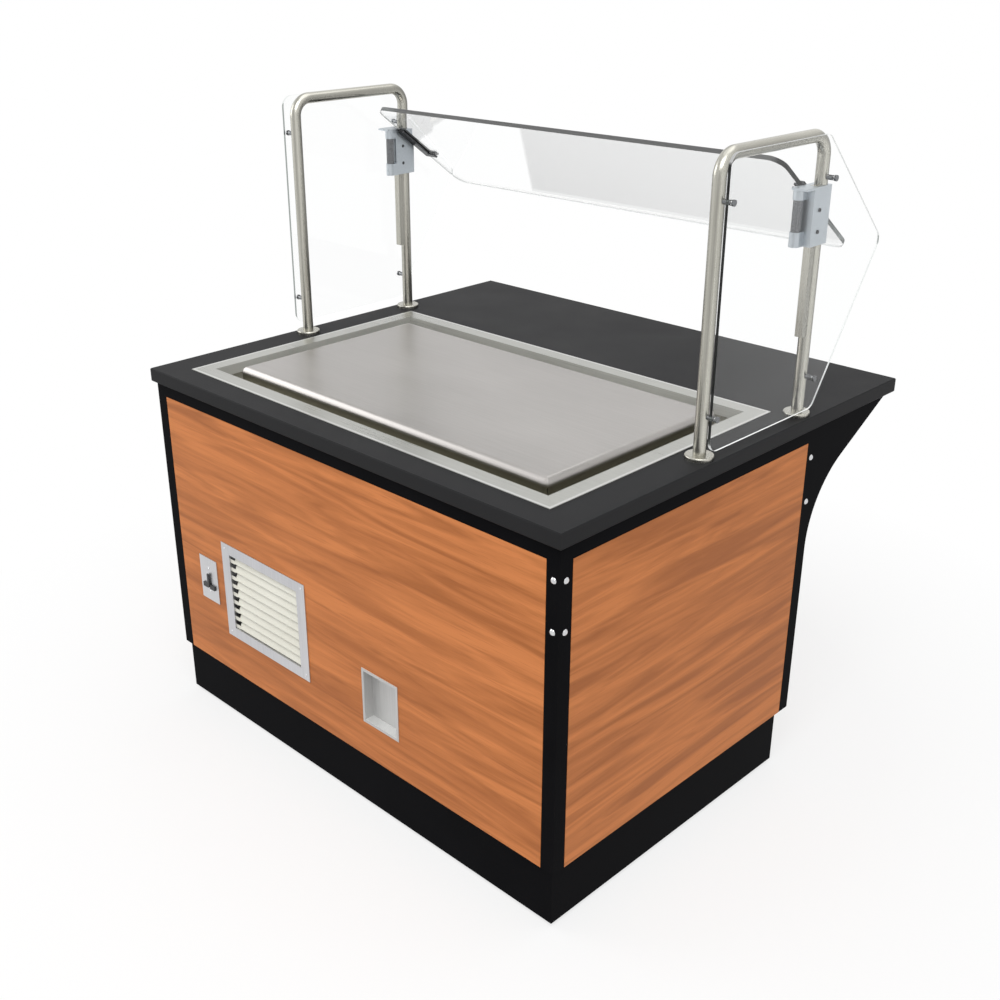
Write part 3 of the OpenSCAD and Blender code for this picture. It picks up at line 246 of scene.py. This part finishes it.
def surface(name, effect, fineness, dark, light, rough, bump, metallic=0.0,
            turn=(0, 0, 0), gloss=0.5, gutter_shade=None, walls_unshaded=False):
    """A finish whose tone, gloss and bump come from one of the shared effects.

    The tone runs from dark to light and the roughness over the two values of rough.
    turn sets the way of the brushed lines, and gloss how much a coat mirrors. The argument
    after gloss is (low z, high z, colour) of painted shade, a darker tone that takes over
    below a height where shade falls in a gutter; the last argument keeps it off upright faces.
    """
    made, tree, shader, vector = new_material(name)
    worn = add(tree, "ShaderNodeGroup", node_tree=effect)
    link(tree, turned(tree, vector, turn), worn.inputs["Vector"])
    worn.inputs["Fineness"].default_value = fineness
    tone = mix_colour(tree, worn.outputs["Tone"], dark, light)
    # Painted shade: below a height the tone turns darker, where shade falls in a gutter.
    if gutter_shade:
        low, high, shade_tone = gutter_shade
        unshaded = remap(tree, separated(tree, vector)["Z"], low, high)
        if walls_unshaded:
            upward = separated(tree, facing(tree))["Z"]
            unshaded = math_node(tree, "MAXIMUM", unshaded, remap(tree, upward, 0.8, 0.3))
        tone = mix_colour(tree, unshaded, shade_tone, tone)
    link(tree, tone, shader.inputs["Base Color"])
    link(tree, remap(tree, worn.outputs["Tone"], 0.0, 1.0, *rough), shader.inputs["Roughness"])
    relief = add(tree, "ShaderNodeBump")
    put(relief, Strength=bump, Distance=0.0004)
    link(tree, worn.outputs["Height"], relief.inputs["Height"])
    link(tree, relief.outputs["Normal"], shader.inputs["Normal"])
    put(shader, Metallic=metallic, Specular_IOR_Level=gloss)
    FINISHES[name] = made


def inward_distance(tree, low, high):
    """How far a point lies inside the outline of a box, seen from above."""
    place = separated(tree, add(tree, "ShaderNodeTexCoord").outputs["Object"])
    inward = []
    for axis in (0, 1):
        offset = math_node(tree, "SUBTRACT", place[axis], (low[axis] + high[axis]) / 2)
        away = math_node(tree, "ABSOLUTE", offset, 0.0)
        inward.append(math_node(tree, "SUBTRACT", (high[axis] - low[axis]) / 2, away))
    return math_node(tree, "MINIMUM", *inward)


def rounded_border(made, low, high, reach, drop):
    """Shades the border of a flat top as if it fell away over a wider curve."""
    tree = made.node_tree
    shader = tree.nodes["Principled BSDF"]
    curve = add(tree, "ShaderNodeMapRange", interpolation_type="SMOOTHSTEP")
    link(tree, inward_distance(tree, low, high), curve.inputs["Value"])
    put(curve, From_Min=0.0, From_Max=reach)
    relief = add(tree, "ShaderNodeBump")
    put(relief, Strength=1.0, Distance=drop)
    link(tree, curve.outputs["Result"], relief.inputs["Height"])
    link(tree, source_of(shader, "Normal"), relief.inputs["Normal"])
    link(tree, relief.outputs["Normal"], shader.inputs["Normal"])


def painted_highlight_bead(made, low, high, reach, colour):
    """A painted highlight: a bright line round the outer edge of a flat border, and walls that
    shine less.
    """
    tree = made.node_tree
    shader = tree.nodes["Principled BSDF"]
    flat = remap(tree, separated(tree, facing(tree))["Z"], 0.3, 0.8)
    outer = remap(tree, inward_distance(tree, low, high), reach, reach * 0.6)
    highlight_share = math_node(tree, "MULTIPLY", flat, outer)
    tone = mix_colour(tree, highlight_share, source_of(shader, "Base Color"), colour)
    link(tree, tone, shader.inputs["Base Color"])
    link(tree, remap(tree, flat, 0.0, 1.0, 0.1, 1.0), shader.inputs["Metallic"])


def painted_sheen_streaks(made, across, stops):
    """Painted light and shade: streaks along a tube, by which way its face looks across it."""
    tree = made.node_tree
    shader = tree.nodes["Principled BSDF"]
    ramp = add(tree, "ShaderNodeValToRGB")
    link(tree, remap(tree, along(tree, facing(tree), across), -1.0, 1.0), ramp.inputs["Fac"])
    points = ramp.color_ramp.elements
    while len(points) < len(stops):
        points.new(0.5)
    for point, (place, tone) in zip(points, stops):
        point.position = place
        point.color = (tone, tone, tone, 1.0)
    shade = add(tree, "ShaderNodeMix", data_type="RGBA", blend_type="MULTIPLY")
    shade.inputs[0].default_value = 1.0
    link(tree, source_of(shader, "Base Color"), shade.inputs[6])
    link(tree, ramp.outputs["Color"], shade.inputs[7])
    link(tree, shade.outputs[2], shader.inputs["Base Color"])


WOOD_DARK = (0.38, 0.120, 0.028)
WOOD_LIGHT = (0.61, 0.212, 0.064)
VEIN_TONE, VEIN_STRENGTH = (0.26, 0.068, 0.016), 0.24
PORE_TONE, PORE_STRENGTH = (0.18, 0.045, 0.012), 0.25


def laminate(name, turn, shift):
    """Orange-brown wood laminate with level figure; shift picks the stretch of figure."""
    made, tree, shader, vector = new_material(name)
    figure = add(tree, "ShaderNodeGroup", node_tree=GRAIN)
    link(tree, mapped(tree, turned(tree, vector, turn), Location=shift), figure.inputs["Vector"])
    tone = mix_colour(tree, figure.outputs["Broad"], WOOD_DARK, WOOD_LIGHT)
    for part, darker, strength in (
        ("Vein", VEIN_TONE, VEIN_STRENGTH), ("Pore", PORE_TONE, PORE_STRENGTH),
    ):
        share = math_node(tree, "MULTIPLY", figure.outputs[part], strength)
        tone = mix_colour(tree, share, tone, darker)
    link(tree, tone, shader.inputs["Base Color"])
    rough = remap(tree, figure.outputs["Broad"], 0.0, 1.0, 0.42, 0.52)
    link(tree, rough, shader.inputs["Roughness"])
    relief = add(tree, "ShaderNodeBump", invert=True)
    put(relief, Strength=0.12, Distance=0.0002)
    link(tree, figure.outputs["Pore"], relief.inputs["Height"])
    link(tree, relief.outputs["Normal"], shader.inputs["Normal"])
    put(shader, Specular_IOR_Level=0.18)
    FINISHES[name] = made


PANE_TINT = (0.994, 0.998, 0.997)


def clear_glass(name, across, edge, bend, near, near_painted_glow, far_painted_glow):
    """Clear sheet glass; its cut edges, where the normal leaves `across`, are dark.

    The edges carry painted light, a faint emission: the first glow value where they face
    -Y, the second elsewhere, with the change between the two values of the normal's Y in near.
    """
    made, tree, shader, vector = new_material(name)
    normal = facing(tree)
    square_on = along(tree, normal, across)
    squared = math_node(tree, "MULTIPLY", square_on, square_on)
    pane = remap(tree, squared, 0.3, 0.9)
    link(tree, mix_colour(tree, pane, edge, PANE_TINT), shader.inputs["Base Color"])
    # Painted light: a faint emission on the cut edges, fainter where they face -Y.
    turned_away = remap(tree, separated(tree, normal)["Y"], *near)
    glow = mix_colour(tree, turned_away, (near_painted_glow,) * 3, (far_painted_glow,) * 3)
    link(tree, mix_colour(tree, pane, glow, (0.0, 0.0, 0.0)), shader.inputs["Emission Color"])
    smeared = remap(tree, noise(tree, vector, 5.0, 4.0), 0.4, 0.7, 0.0, 0.02)
    ground = remap(tree, squared, 0.3, 0.9, 0.5, 0.0)
    link(tree, math_node(tree, "MAXIMUM", smeared, ground), shader.inputs["Roughness"])
    put(shader, Emission_Strength=1.0, Transmission_Weight=1.0, IOR=bend)
    FINISHES[name] = made


UP = (0, 90, 0)     # turns brushed lines from level to upright

surface(
    "charcoal_sheet", SPECKLE, 1400.0, (0.0155, 0.0155, 0.0163), (0.020, 0.020, 0.0212),
    (0.45, 0.56), bump=0.03, gloss=0.07,
)
surface(
    "black_powder", SPECKLE, 900.0, (0.003, 0.003, 0.0036), (0.006, 0.006, 0.007),
    (0.42, 0.55), bump=0.08, gloss=0.012,
)
laminate("laminate_along", (0, 0, 0), (0.3, 0.0, 0.1))
laminate("laminate_ends", (0, 0, -90), (1.7, 0.4, 0.55))
surface(
    "bright_screw", SPECKLE, 300.0, (0.58, 0.585, 0.60), (0.70, 0.70, 0.71),
    (0.16, 0.26), bump=0.01, metallic=1.0,
)
surface(
    "galvanised", SPECKLE, 120.0, (0.36, 0.37, 0.38), (0.52, 0.53, 0.54),
    (0.35, 0.55), bump=0.02, metallic=1.0,
)
surface(
    "plate_steel", BRUSHED, 900.0, (0.50, 0.50, 0.52), (0.66, 0.66, 0.67),
    (0.30, 0.42), bump=0.05, metallic=1.0, turn=UP,
)
surface(
    "pocket_steel", BRUSHED, 900.0, (0.56, 0.56, 0.55), (0.70, 0.70, 0.69),
    (0.38, 0.5), bump=0.04, metallic=0.55, turn=UP,
)
surface(
    "louver_cream", SPECKLE, 500.0, (0.68, 0.67, 0.58), (0.78, 0.77, 0.69),
    (0.35, 0.45), bump=0.03,
)
surface(
    "dark_plastic", SPECKLE, 1500.0, (0.012, 0.012, 0.013), (0.022, 0.022, 0.024),
    (0.40, 0.50), bump=0.06,
)
# Painted shade: the gutter's floor below the rim's top is darker; its walls keep the plain tone.
surface(
    "rim_steel", BRUSHED, 800.0, (0.40, 0.40, 0.375), (0.52, 0.52, 0.49),
    (0.26, 0.38), bump=0.04, metallic=1.0,
    gutter_shade=(0.866, 0.870, (0.24, 0.23, 0.185)), walls_unshaded=True,
)
# Painted shade: the slab's sides below its top are darker, as they stand in the gutter.
surface(
    "slab_steel", BRUSHED, 700.0, (0.385, 0.367, 0.352), (0.485, 0.466, 0.450),
    (0.30, 0.42), bump=0.06, metallic=1.0, gutter_shade=(0.860, 0.866, (0.22, 0.21, 0.17)),
)
surface(
    "foam", SPECKLE, 260.0, (0.55, 0.46, 0.28), (0.72, 0.62, 0.40), (0.8, 0.95), bump=0.4
)
surface(
    "copper", SPECKLE, 160.0, (0.62, 0.26, 0.13), (0.80, 0.38, 0.22),
    (0.22, 0.4), bump=0.02, metallic=1.0,
)
surface(
    "pipe_brass", SPECKLE, 160.0, (0.50, 0.34, 0.13), (0.68, 0.48, 0.2),
    (0.25, 0.4), bump=0.03, metallic=1.0,
)
surface(
    "red_plastic", SPECKLE, 900.0, (0.40, 0.015, 0.01), (0.52, 0.025, 0.018),
    (0.25, 0.35), bump=0.04,
)
surface(
    "fin_block", BRUSHED, 500.0, (0.22, 0.23, 0.24), (0.60, 0.61, 0.62),
    (0.35, 0.5), bump=0.6, metallic=1.0, turn=UP,
)
surface(
    "motor_grey", SPECKLE, 600.0, (0.06, 0.065, 0.07), (0.09, 0.095, 0.10),
    (0.35, 0.5), bump=0.08,
)
surface(
    "compressor_black", SPECKLE, 250.0, (0.008, 0.008, 0.009), (0.014, 0.014, 0.015),
    (0.2, 0.3), bump=0.05,
)
surface(
    "zinc", SPECKLE, 200.0, (0.46, 0.47, 0.49), (0.60, 0.61, 0.63),
    (0.24, 0.4), bump=0.03, metallic=1.0,
)
surface(
    "wheel_rubber", SPECKLE, 500.0, (0.016, 0.016, 0.017), (0.03, 0.03, 0.032),
    (0.6, 0.8), bump=0.1,
)
surface(
    "tube_steel", BRUSHED, 1100.0, (0.46, 0.448, 0.395), (0.62, 0.607, 0.545),
    (0.2, 0.32), bump=0.04, metallic=1.0, turn=UP,
)
surface(
    "clamp_metal", SPECKLE, 500.0, (0.45, 0.49, 0.525), (0.55, 0.59, 0.625),
    (0.32, 0.45), bump=0.04, metallic=1.0,
)
surface(
    "grip_steel", SPECKLE, 500.0, (0.15, 0.155, 0.16), (0.22, 0.225, 0.235),
    (0.25, 0.36), bump=0.04, metallic=0.9,
)
surface(
    "dark_metal", SPECKLE, 500.0, (0.05, 0.052, 0.056), (0.09, 0.092, 0.098),
    (0.3, 0.42), bump=0.05, metallic=0.6,
)

rounded_border(FINISHES["slab_steel"], *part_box("cold_slab"), reach=0.018, drop=0.0064)
# Painted highlight: a bright line along the outer edge of the rim's flat border.
painted_highlight_bead(FINISHES["rim_steel"], *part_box("well_rim"), reach=0.007, colour=(0.66, 0.66, 0.64))
# Painted reflection: light and dark streaks on the tubes, fixed to which way each face looks.
painted_sheen_streaks(
    FINISHES["tube_steel"], (0.73, 0.68, 0.0),
    ((0.0, 0.6), (0.14, 0.9), (0.4, 0.62), (0.6, 1.0), (0.78, 0.86), (0.92, 0.4), (1.0, 0.25)),
)
# Painted light: the pocket's upward faces are made lighter than its walls.
painted_sheen_streaks(FINISHES["pocket_steel"], (0.0, 0.0, 1.0), ((0.0, 0.8), (0.9, 0.8), (1.0, 1.3)))

TILT = math.radians(36.3)   # of the front glass
# Both panes get painted light on their cut edges as a faint emission.
clear_glass(
    "end_glass", across=(1.0, 0.0, 0.0), edge=(0.12, 0.14, 0.13), bend=1.2,
    near=(-0.98, -0.9), near_painted_glow=0.01, far_painted_glow=0.5,
)
clear_glass(
    "front_glass", across=(0.0, math.sin(TILT), math.cos(TILT)), edge=(0.24, 0.26, 0.255),
    bend=1.25, near=(-0.8, -0.6), near_painted_glow=0.12, far_painted_glow=0.02,
)

SIDES = ("left", "right")
CORNERS = ("front_left", "front_right", "rear_left", "rear_right")


def each(stem, places):
    """The names of a node's copies."""
    return [f"{stem}_{place}" for place in places]


NODE_FINISH = {
    "charcoal_sheet": ["countertop"],
    "black_powder": [
        "top_frame", "base_frame", "toe_kick",
        *each("corner_post", CORNERS), *each("shelf_bracket", SIDES),
    ],
    "laminate_along": ["operator_panel", "customer_panel"],
    "laminate_ends": each("end_panel", SIDES),
    "bright_screw": ["corner_bolts"],
    "galvanised": ["base_deck"],
    "plate_steel": ["vent_frame", "switch_plate"],
    "pocket_steel": ["recess_pocket"],
    "louver_cream": ["vent_louvers"],
    "dark_plastic": ["switch_body", "toggle_lever", "fan_shroud", "cord_gland", "fan_blade"],
    "rim_steel": ["well_rim", "well_shell"],
    "slab_steel": ["cold_slab"],
    "foam": ["well_insulation"],
    "copper": ["evaporator_coil", "refrigerant_lines"],
    "pipe_brass": ["drain_pipe"],
    "red_plastic": ["valve_handle", *each("brake_pedal", SIDES)],
    "fin_block": ["condenser"],
    "motor_grey": ["fan_motor"],
    "compressor_black": ["compressor"],
    "zinc": ["caster_plates", *each("caster_fork", CORNERS)],
    "wheel_rubber": each("caster_wheel", CORNERS),
    "tube_steel": [*each("guard_frame", SIDES), "post_flanges", "adjuster_rails"],
    "end_glass": each("end_glass", SIDES),
    "front_glass": ["front_glass"],
    "clamp_metal": ["post_clamps"],
    "dark_metal": ["clamp_screws", "glass_arms"],
    "grip_steel": ["glass_standoffs", *each("clamp_knob", SIDES)],
}


def dress(piece, finish):
    piece.data.materials.clear()
    piece.data.materials.append(FINISHES[finish])


for finish_name, members in NODE_FINISH.items():
    for member in members:
        dress(nodes[member], finish_name)


# ------------------------------------------------------------ repeated pieces

def node_row():
    """A geometry tree that sets copies of its own mesh along a line."""
    tree = bpy.data.node_groups.new("row_of_copies", "GeometryNodeTree")
    for label, kind in (
        ("Geometry", "NodeSocketGeometry"), ("Count", "NodeSocketInt"),
        ("Step", "NodeSocketVector"), ("Finish", "NodeSocketMaterial"),
    ):
        tree.interface.new_socket(label, in_out="INPUT", socket_type=kind)
    tree.interface.new_socket("Geometry", in_out="OUTPUT", socket_type="NodeSocketGeometry")
    ins = add(tree, "NodeGroupInput")
    row = add(tree, "GeometryNodeMeshLine")
    link(tree, ins.outputs["Count"], row.inputs["Count"])
    link(tree, ins.outputs["Step"], row.inputs["Offset"])
    finish_copies(tree, ins, row.outputs["Mesh"])
    return tree


def node_spots():
    """A geometry tree that sets a copy of its own mesh at each point of another mesh."""
    tree = bpy.data.node_groups.new("copies_at_spots", "GeometryNodeTree")
    for label, kind in (
        ("Geometry", "NodeSocketGeometry"), ("Spots", "NodeSocketObject"),
        ("Finish", "NodeSocketMaterial"),
    ):
        tree.interface.new_socket(label, in_out="INPUT", socket_type=kind)
    tree.interface.new_socket("Geometry", in_out="OUTPUT", socket_type="NodeSocketGeometry")
    ins = add(tree, "NodeGroupInput")
    spots = add(tree, "GeometryNodeObjectInfo")
    link(tree, ins.outputs["Spots"], spots.inputs["Object"])
    finish_copies(tree, ins, spots.outputs["Geometry"])
    return tree


def finish_copies(tree, ins, points):
    """Ends a geometry tree: copies of its own mesh at the points, with one finish."""
    copies = add(tree, "GeometryNodeInstanceOnPoints")
    real = add(tree, "GeometryNodeRealizeInstances")
    paint = add(tree, "GeometryNodeSetMaterial")
    link(tree, points, copies.inputs["Points"])
    link(tree, ins.outputs["Geometry"], copies.inputs["Instance"])
    link(tree, copies.outputs["Instances"], real.inputs["Geometry"])
    link(tree, real.outputs["Geometry"], paint.inputs["Geometry"])
    link(tree, ins.outputs["Finish"], paint.inputs["Material"])
    link(tree, paint.outputs["Geometry"], add(tree, "NodeGroupOutput").inputs["Geometry"])


ROW = node_row()
SPOTS = node_spots()


def new_piece(name, data):
    """An object in the scene round a mesh, a lamp or a lens."""
    made = bpy.data.objects.new(name, data)
    bpy.context.scene.collection.objects.link(made)
    return made


def baked(name, source, tree, values):
    """Runs a geometry tree on a mesh and keeps the result as a plain piece."""
    worker = new_piece(name + "_source", source)
    modifier = worker.modifiers.new("copies", "NODES")
    modifier.node_group = tree
    for item in tree.interface.items_tree:
        if item.in_out == "INPUT" and item.name in values:
            modifier[item.identifier] = values[item.name]
    graph = bpy.context.evaluated_depsgraph_get()
    mesh = bpy.data.meshes.new_from_object(worker.evaluated_get(graph), depsgraph=graph)
    bpy.data.objects.remove(worker)
    return new_piece(name, mesh)


def mesh_of(name, points, faces):
    """A flat-shaded mesh with its faces turned outwards."""
    mesh = bpy.data.meshes.new(name)
    mesh.from_pydata(points, [], faces)
    work = bmesh.new()
    work.from_mesh(mesh)
    bmesh.ops.recalc_face_normals(work, faces=work.faces)
    work.to_mesh(mesh)
    work.free()
    return mesh


def swept_profile(name, profile, left, right, start):
    """A closed profile of (y, z) points drawn along X, standing at start (y, z)."""
    count = len(profile)
    points = [(x, start[0] + y, start[1] + z) for x in (left, right) for y, z in profile]
    faces = [(i, (i + 1) % count, count + (i + 1) % count, count + i) for i in range(count)]
    faces += [tuple(range(count)), tuple(range(count, 2 * count))]
    return mesh_of(name, points, faces)


def joined(meshes):
    work = bmesh.new()
    for mesh in meshes:
        work.from_mesh(mesh)
    made = bpy.data.meshes.new(meshes[0].name)
    work.to_mesh(made)
    work.free()
    return made


# The louver bank: blades in rows, with a strip of small open slots at their left
LOUVERS = 9
BANK_HEIGHT = 0.191         # from the lowest blade's foot to a point on the top blade
TOP_SHARE = 0.8             # of a pitch: where on the top blade that point lies
BANK_SETBACK = 0.0002       # from the front of the solid that it takes the place of
STRIP_WIDTH = 0.014
STRIP_LAP = 0.001           # of the strip and the blades
STRIP_FRONT, STRIP_BACK = 0.0006, 0.0018    # from the front of the bank
STRIP_CLOSED = 0.42         # of a pitch: the rest is an open slot
SHEET = 0.0011
INNER_LIFT = 0.0003         # of a blade's inner face over its outer one
ROLL = 0.0032               # radius of a blade's rolled edge
ROLL_ANGLES = range(-90, 31, 20)    # degrees
ROLL_DEPTH = 0.9            # of the radius
BLADE_BACK = ((0.0044, 0.62), (0.0088, 0.97))   # how far back, at which share of a pitch


def louver_profile(pitch):
    """A blade rolled outwards along its lower edge and drawn back along its upper one."""
    outer = []
    for angle in ROLL_ANGLES:
        level, upright = ROLL * math.cos(math.radians(angle)), ROLL * math.sin(math.radians(angle))
        outer.append((ROLL - level * ROLL_DEPTH, ROLL + upright))
    outer += [(back, pitch * share) for back, share in BLADE_BACK]
    inner = [(y + SHEET, z + INNER_LIFT) for y, z in reversed(outer[2:])]
    return outer + inner


def build_louvers():
    """The louver bank in place of the plain one of the solids."""
    pitch = BANK_HEIGHT / (LOUVERS - 1 + TOP_SHARE)
    left, right = LOUVER_LOW[0], LOUVER_HIGH[0]
    start = (LOUVER_LOW[1] + BANK_SETBACK, LOUVER_LOW[2])
    blade = swept_profile("blade", louver_profile(pitch), left + STRIP_WIDTH, right, start)
    top = pitch * STRIP_CLOSED
    lip = [(STRIP_FRONT, 0.0), (STRIP_BACK, 0.0), (STRIP_BACK, top), (STRIP_FRONT, top)]
    strip = swept_profile("strip", lip, left, left + STRIP_WIDTH + STRIP_LAP, start)
    made = baked(
        "louver_bank", joined([blade, strip]), ROW,
        {"Count": LOUVERS, "Step": (0.0, 0.0, pitch), "Finish": FINISHES["louver_cream"]},
    )
    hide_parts("vent_louvers")
    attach(made, "cabinet")


# Rings of a screw's head, in shares of its radius and of its rise
HEAD_RINGS = ((1.0, 0.0), (1.0, 0.25), (0.9, 0.62), (0.62, 0.9), (0.3, 1.0))
HEAD_STEPS = 16
SLOT_HALF_WIDTH = 0.16      # of the head's radius
SLOT_FROM = 0.7             # of the head's rise: rings above it are cut
SLOT_FLOOR = 0.45           # of the head's rise


def screw_head(radius, rise):
    """A slotted oval head that faces -Y, its seat at the origin."""
    points = []
    for reach, height in HEAD_RINGS:
        for step in range(HEAD_STEPS):
            angle = 2 * math.pi * step / HEAD_STEPS
            x, z = radius * reach * math.cos(angle), radius * reach * math.sin(angle)
            cut = abs(z) < radius * SLOT_HALF_WIDTH and height > SLOT_FROM
            points.append((x, -rise * (SLOT_FLOOR if cut else height), z))
    rings = [range(first, first + HEAD_STEPS) for first in range(0, len(points), HEAD_STEPS)]
    faces = [
        (lower[step], lower[after], upper[after], upper[step])
        for lower, upper in zip(rings, rings[1:])
        for step, after in enumerate([*range(1, HEAD_STEPS), 0])
    ]
    faces += [tuple(rings[0]), tuple(rings[-1])]
    return mesh_of("screw_head", points, faces)


def build_screws(name, head, spots, finish):
    """One piece with a copy of the head at each spot."""
    marks = new_piece(name + "_spots", bpy.data.meshes.new(name + "_spots"))
    marks.data.from_pydata(spots, [], [])
    made = baked(name, head, SPOTS, {"Spots": marks, "Finish": FINISHES[finish]})
    bpy.data.objects.remove(marks)
    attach(made, "cabinet")


# Radius and rise of each head, and where they sit
PLATE_SCREW, PLATE_SCREW_SPACING = (0.0032, 0.0011), 0.0603
VENT_SCREW, VENT_SCREW_INSET = (0.0030, 0.0014), 0.013
plate_x = (PLATE_LOW[0] + PLATE_HIGH[0]) / 2
plate_z = (PLATE_LOW[2] + PLATE_HIGH[2]) / 2
build_screws(
    "plate_screws", screw_head(*PLATE_SCREW),
    [(plate_x, PLATE_LOW[1], plate_z + side * PLATE_SCREW_SPACING / 2) for side in (-1, 1)],
    "bright_screw",
)
build_screws(
    "vent_screws", screw_head(*VENT_SCREW),
    [
        (x, VENT_LOW[1], z)
        for x in (VENT_LOW[0] + VENT_SCREW_INSET, VENT_HIGH[0] - VENT_SCREW_INSET)
        for z in (VENT_LOW[2] + VENT_SCREW_INSET, VENT_HIGH[2] - VENT_SCREW_INSET)
    ],
    "plate_steel",
)
build_louvers()


# ------------------------------------------------------------- stage and light

# Square lamps that face the middle of the object: place, side and power in watts
MIDDLE = (0.0, 0.0, 0.7)
LAMPS = {
    "key": ((2.03, -2.66, 4.6), 3.2, 133.0),
    "fill": ((-3.6, -2.2, 2.4), 2.4, 42.0),
    "top": ((0.3, 0.6, 4.2), 3.0, 29.0),
}
FLOOR_REACH = 12.0
FLOOR_GREY, WORLD_GREY, WHITE = (0.9, 0.9, 0.9, 1.0), (0.55, 0.55, 0.55), (1.0, 1.0, 1.0)
# The floor's share of white, and the distances from its middle over which it grows
WHITE_SHARES, WHITE_DISTANCES = (0.72, 1.0), (0.9, 1.7)
CAMERA_PLACE = (1.8694, -1.9956, 1.7784)
CAMERA_TURN = (65.938, 0.381, 45.261)       # degrees about X, Y and Z
FOCAL_LENGTH, SENSOR_WIDTH = 45.23, 36.0    # millimetres
CAMERA_SHIFT = (0.0308, -0.002)             # of the sensor's width


def area_light(name, place, side, power):
    lamp = bpy.data.lights.new(name, "AREA")
    lamp.shape = "SQUARE"
    lamp.size = side
    lamp.energy = power
    made = new_piece(name, lamp)
    made.location = place
    way = Vector(MIDDLE) - Vector(place)
    made.rotation_euler = way.to_track_quat("-Z", "Y").to_euler()


def seen_rays(tree):
    """1 for rays of the camera, of gloss and through glass; 0 for what lights the object."""
    ray = add(tree, "ShaderNodeLightPath")
    seen = math_node(tree, "MAXIMUM", ray.outputs["Is Camera Ray"], ray.outputs["Is Glossy Ray"])
    return math_node(tree, "MAXIMUM", seen, ray.outputs["Is Transmission Ray"])


def build_floor():
    """A pale floor that runs into the white backdrop and keeps the object's shadow."""
    mesh = bpy.data.meshes.new("floor")
    ways = ((-1, -1), (1, -1), (1, 1), (-1, 1))
    mesh.from_pydata([(x * FLOOR_REACH, y * FLOOR_REACH, 0) for x, y in ways], [], [(0, 1, 2, 3)])
    made = new_piece("floor", mesh)
    finish, tree, shader, vector = new_material("pale_floor")
    put(shader, Base_Color=FLOOR_GREY, Roughness=0.9, Specular_IOR_Level=0.1)
    away = add(tree, "ShaderNodeVectorMath", operation="LENGTH")
    link(tree, vector, away.inputs[0])
    share = remap(tree, away.outputs["Value"], *WHITE_DISTANCES, *WHITE_SHARES)
    white = math_node(tree, "MULTIPLY", seen_rays(tree), share)
    glow = add(tree, "ShaderNodeEmission")
    blend = add(tree, "ShaderNodeMixShader")
    link(tree, white, blend.inputs["Fac"])
    link(tree, shader.outputs["BSDF"], blend.inputs[1])
    link(tree, glow.outputs["Emission"], blend.inputs[2])
    link(tree, blend.outputs["Shader"], tree.nodes["Material Output"].inputs["Surface"])
    mesh.materials.append(finish)


def build_world():
    """Soft grey light, with white where the camera, gloss and glass look past the object."""
    world = bpy.data.worlds.new("studio")
    bpy.context.scene.world = world
    world.use_nodes = True
    tree = world.node_tree
    backdrop = tree.nodes["Background"]
    link(tree, mix_colour(tree, seen_rays(tree), WORLD_GREY, WHITE), backdrop.inputs["Color"])
    put(backdrop, Strength=1.0)


def build_camera():
    """The camera, placed and turned as it was fitted to the photograph."""
    lens = bpy.data.cameras.new("camera")
    lens.sensor_fit = "HORIZONTAL"
    lens.sensor_width, lens.lens = SENSOR_WIDTH, FOCAL_LENGTH
    lens.shift_x, lens.shift_y = CAMERA_SHIFT
    made = new_piece("camera", lens)
    made.location = CAMERA_PLACE
    made.rotation_euler = Euler([math.radians(angle) for angle in CAMERA_TURN], "XYZ")
    bpy.context.scene.camera = made


build_camera()
build_floor()
build_world()
for lamp_name, settings in LAMPS.items():
    area_light(lamp_name, *settings)
bpy.context.scene.view_settings.view_transform = "Standard"
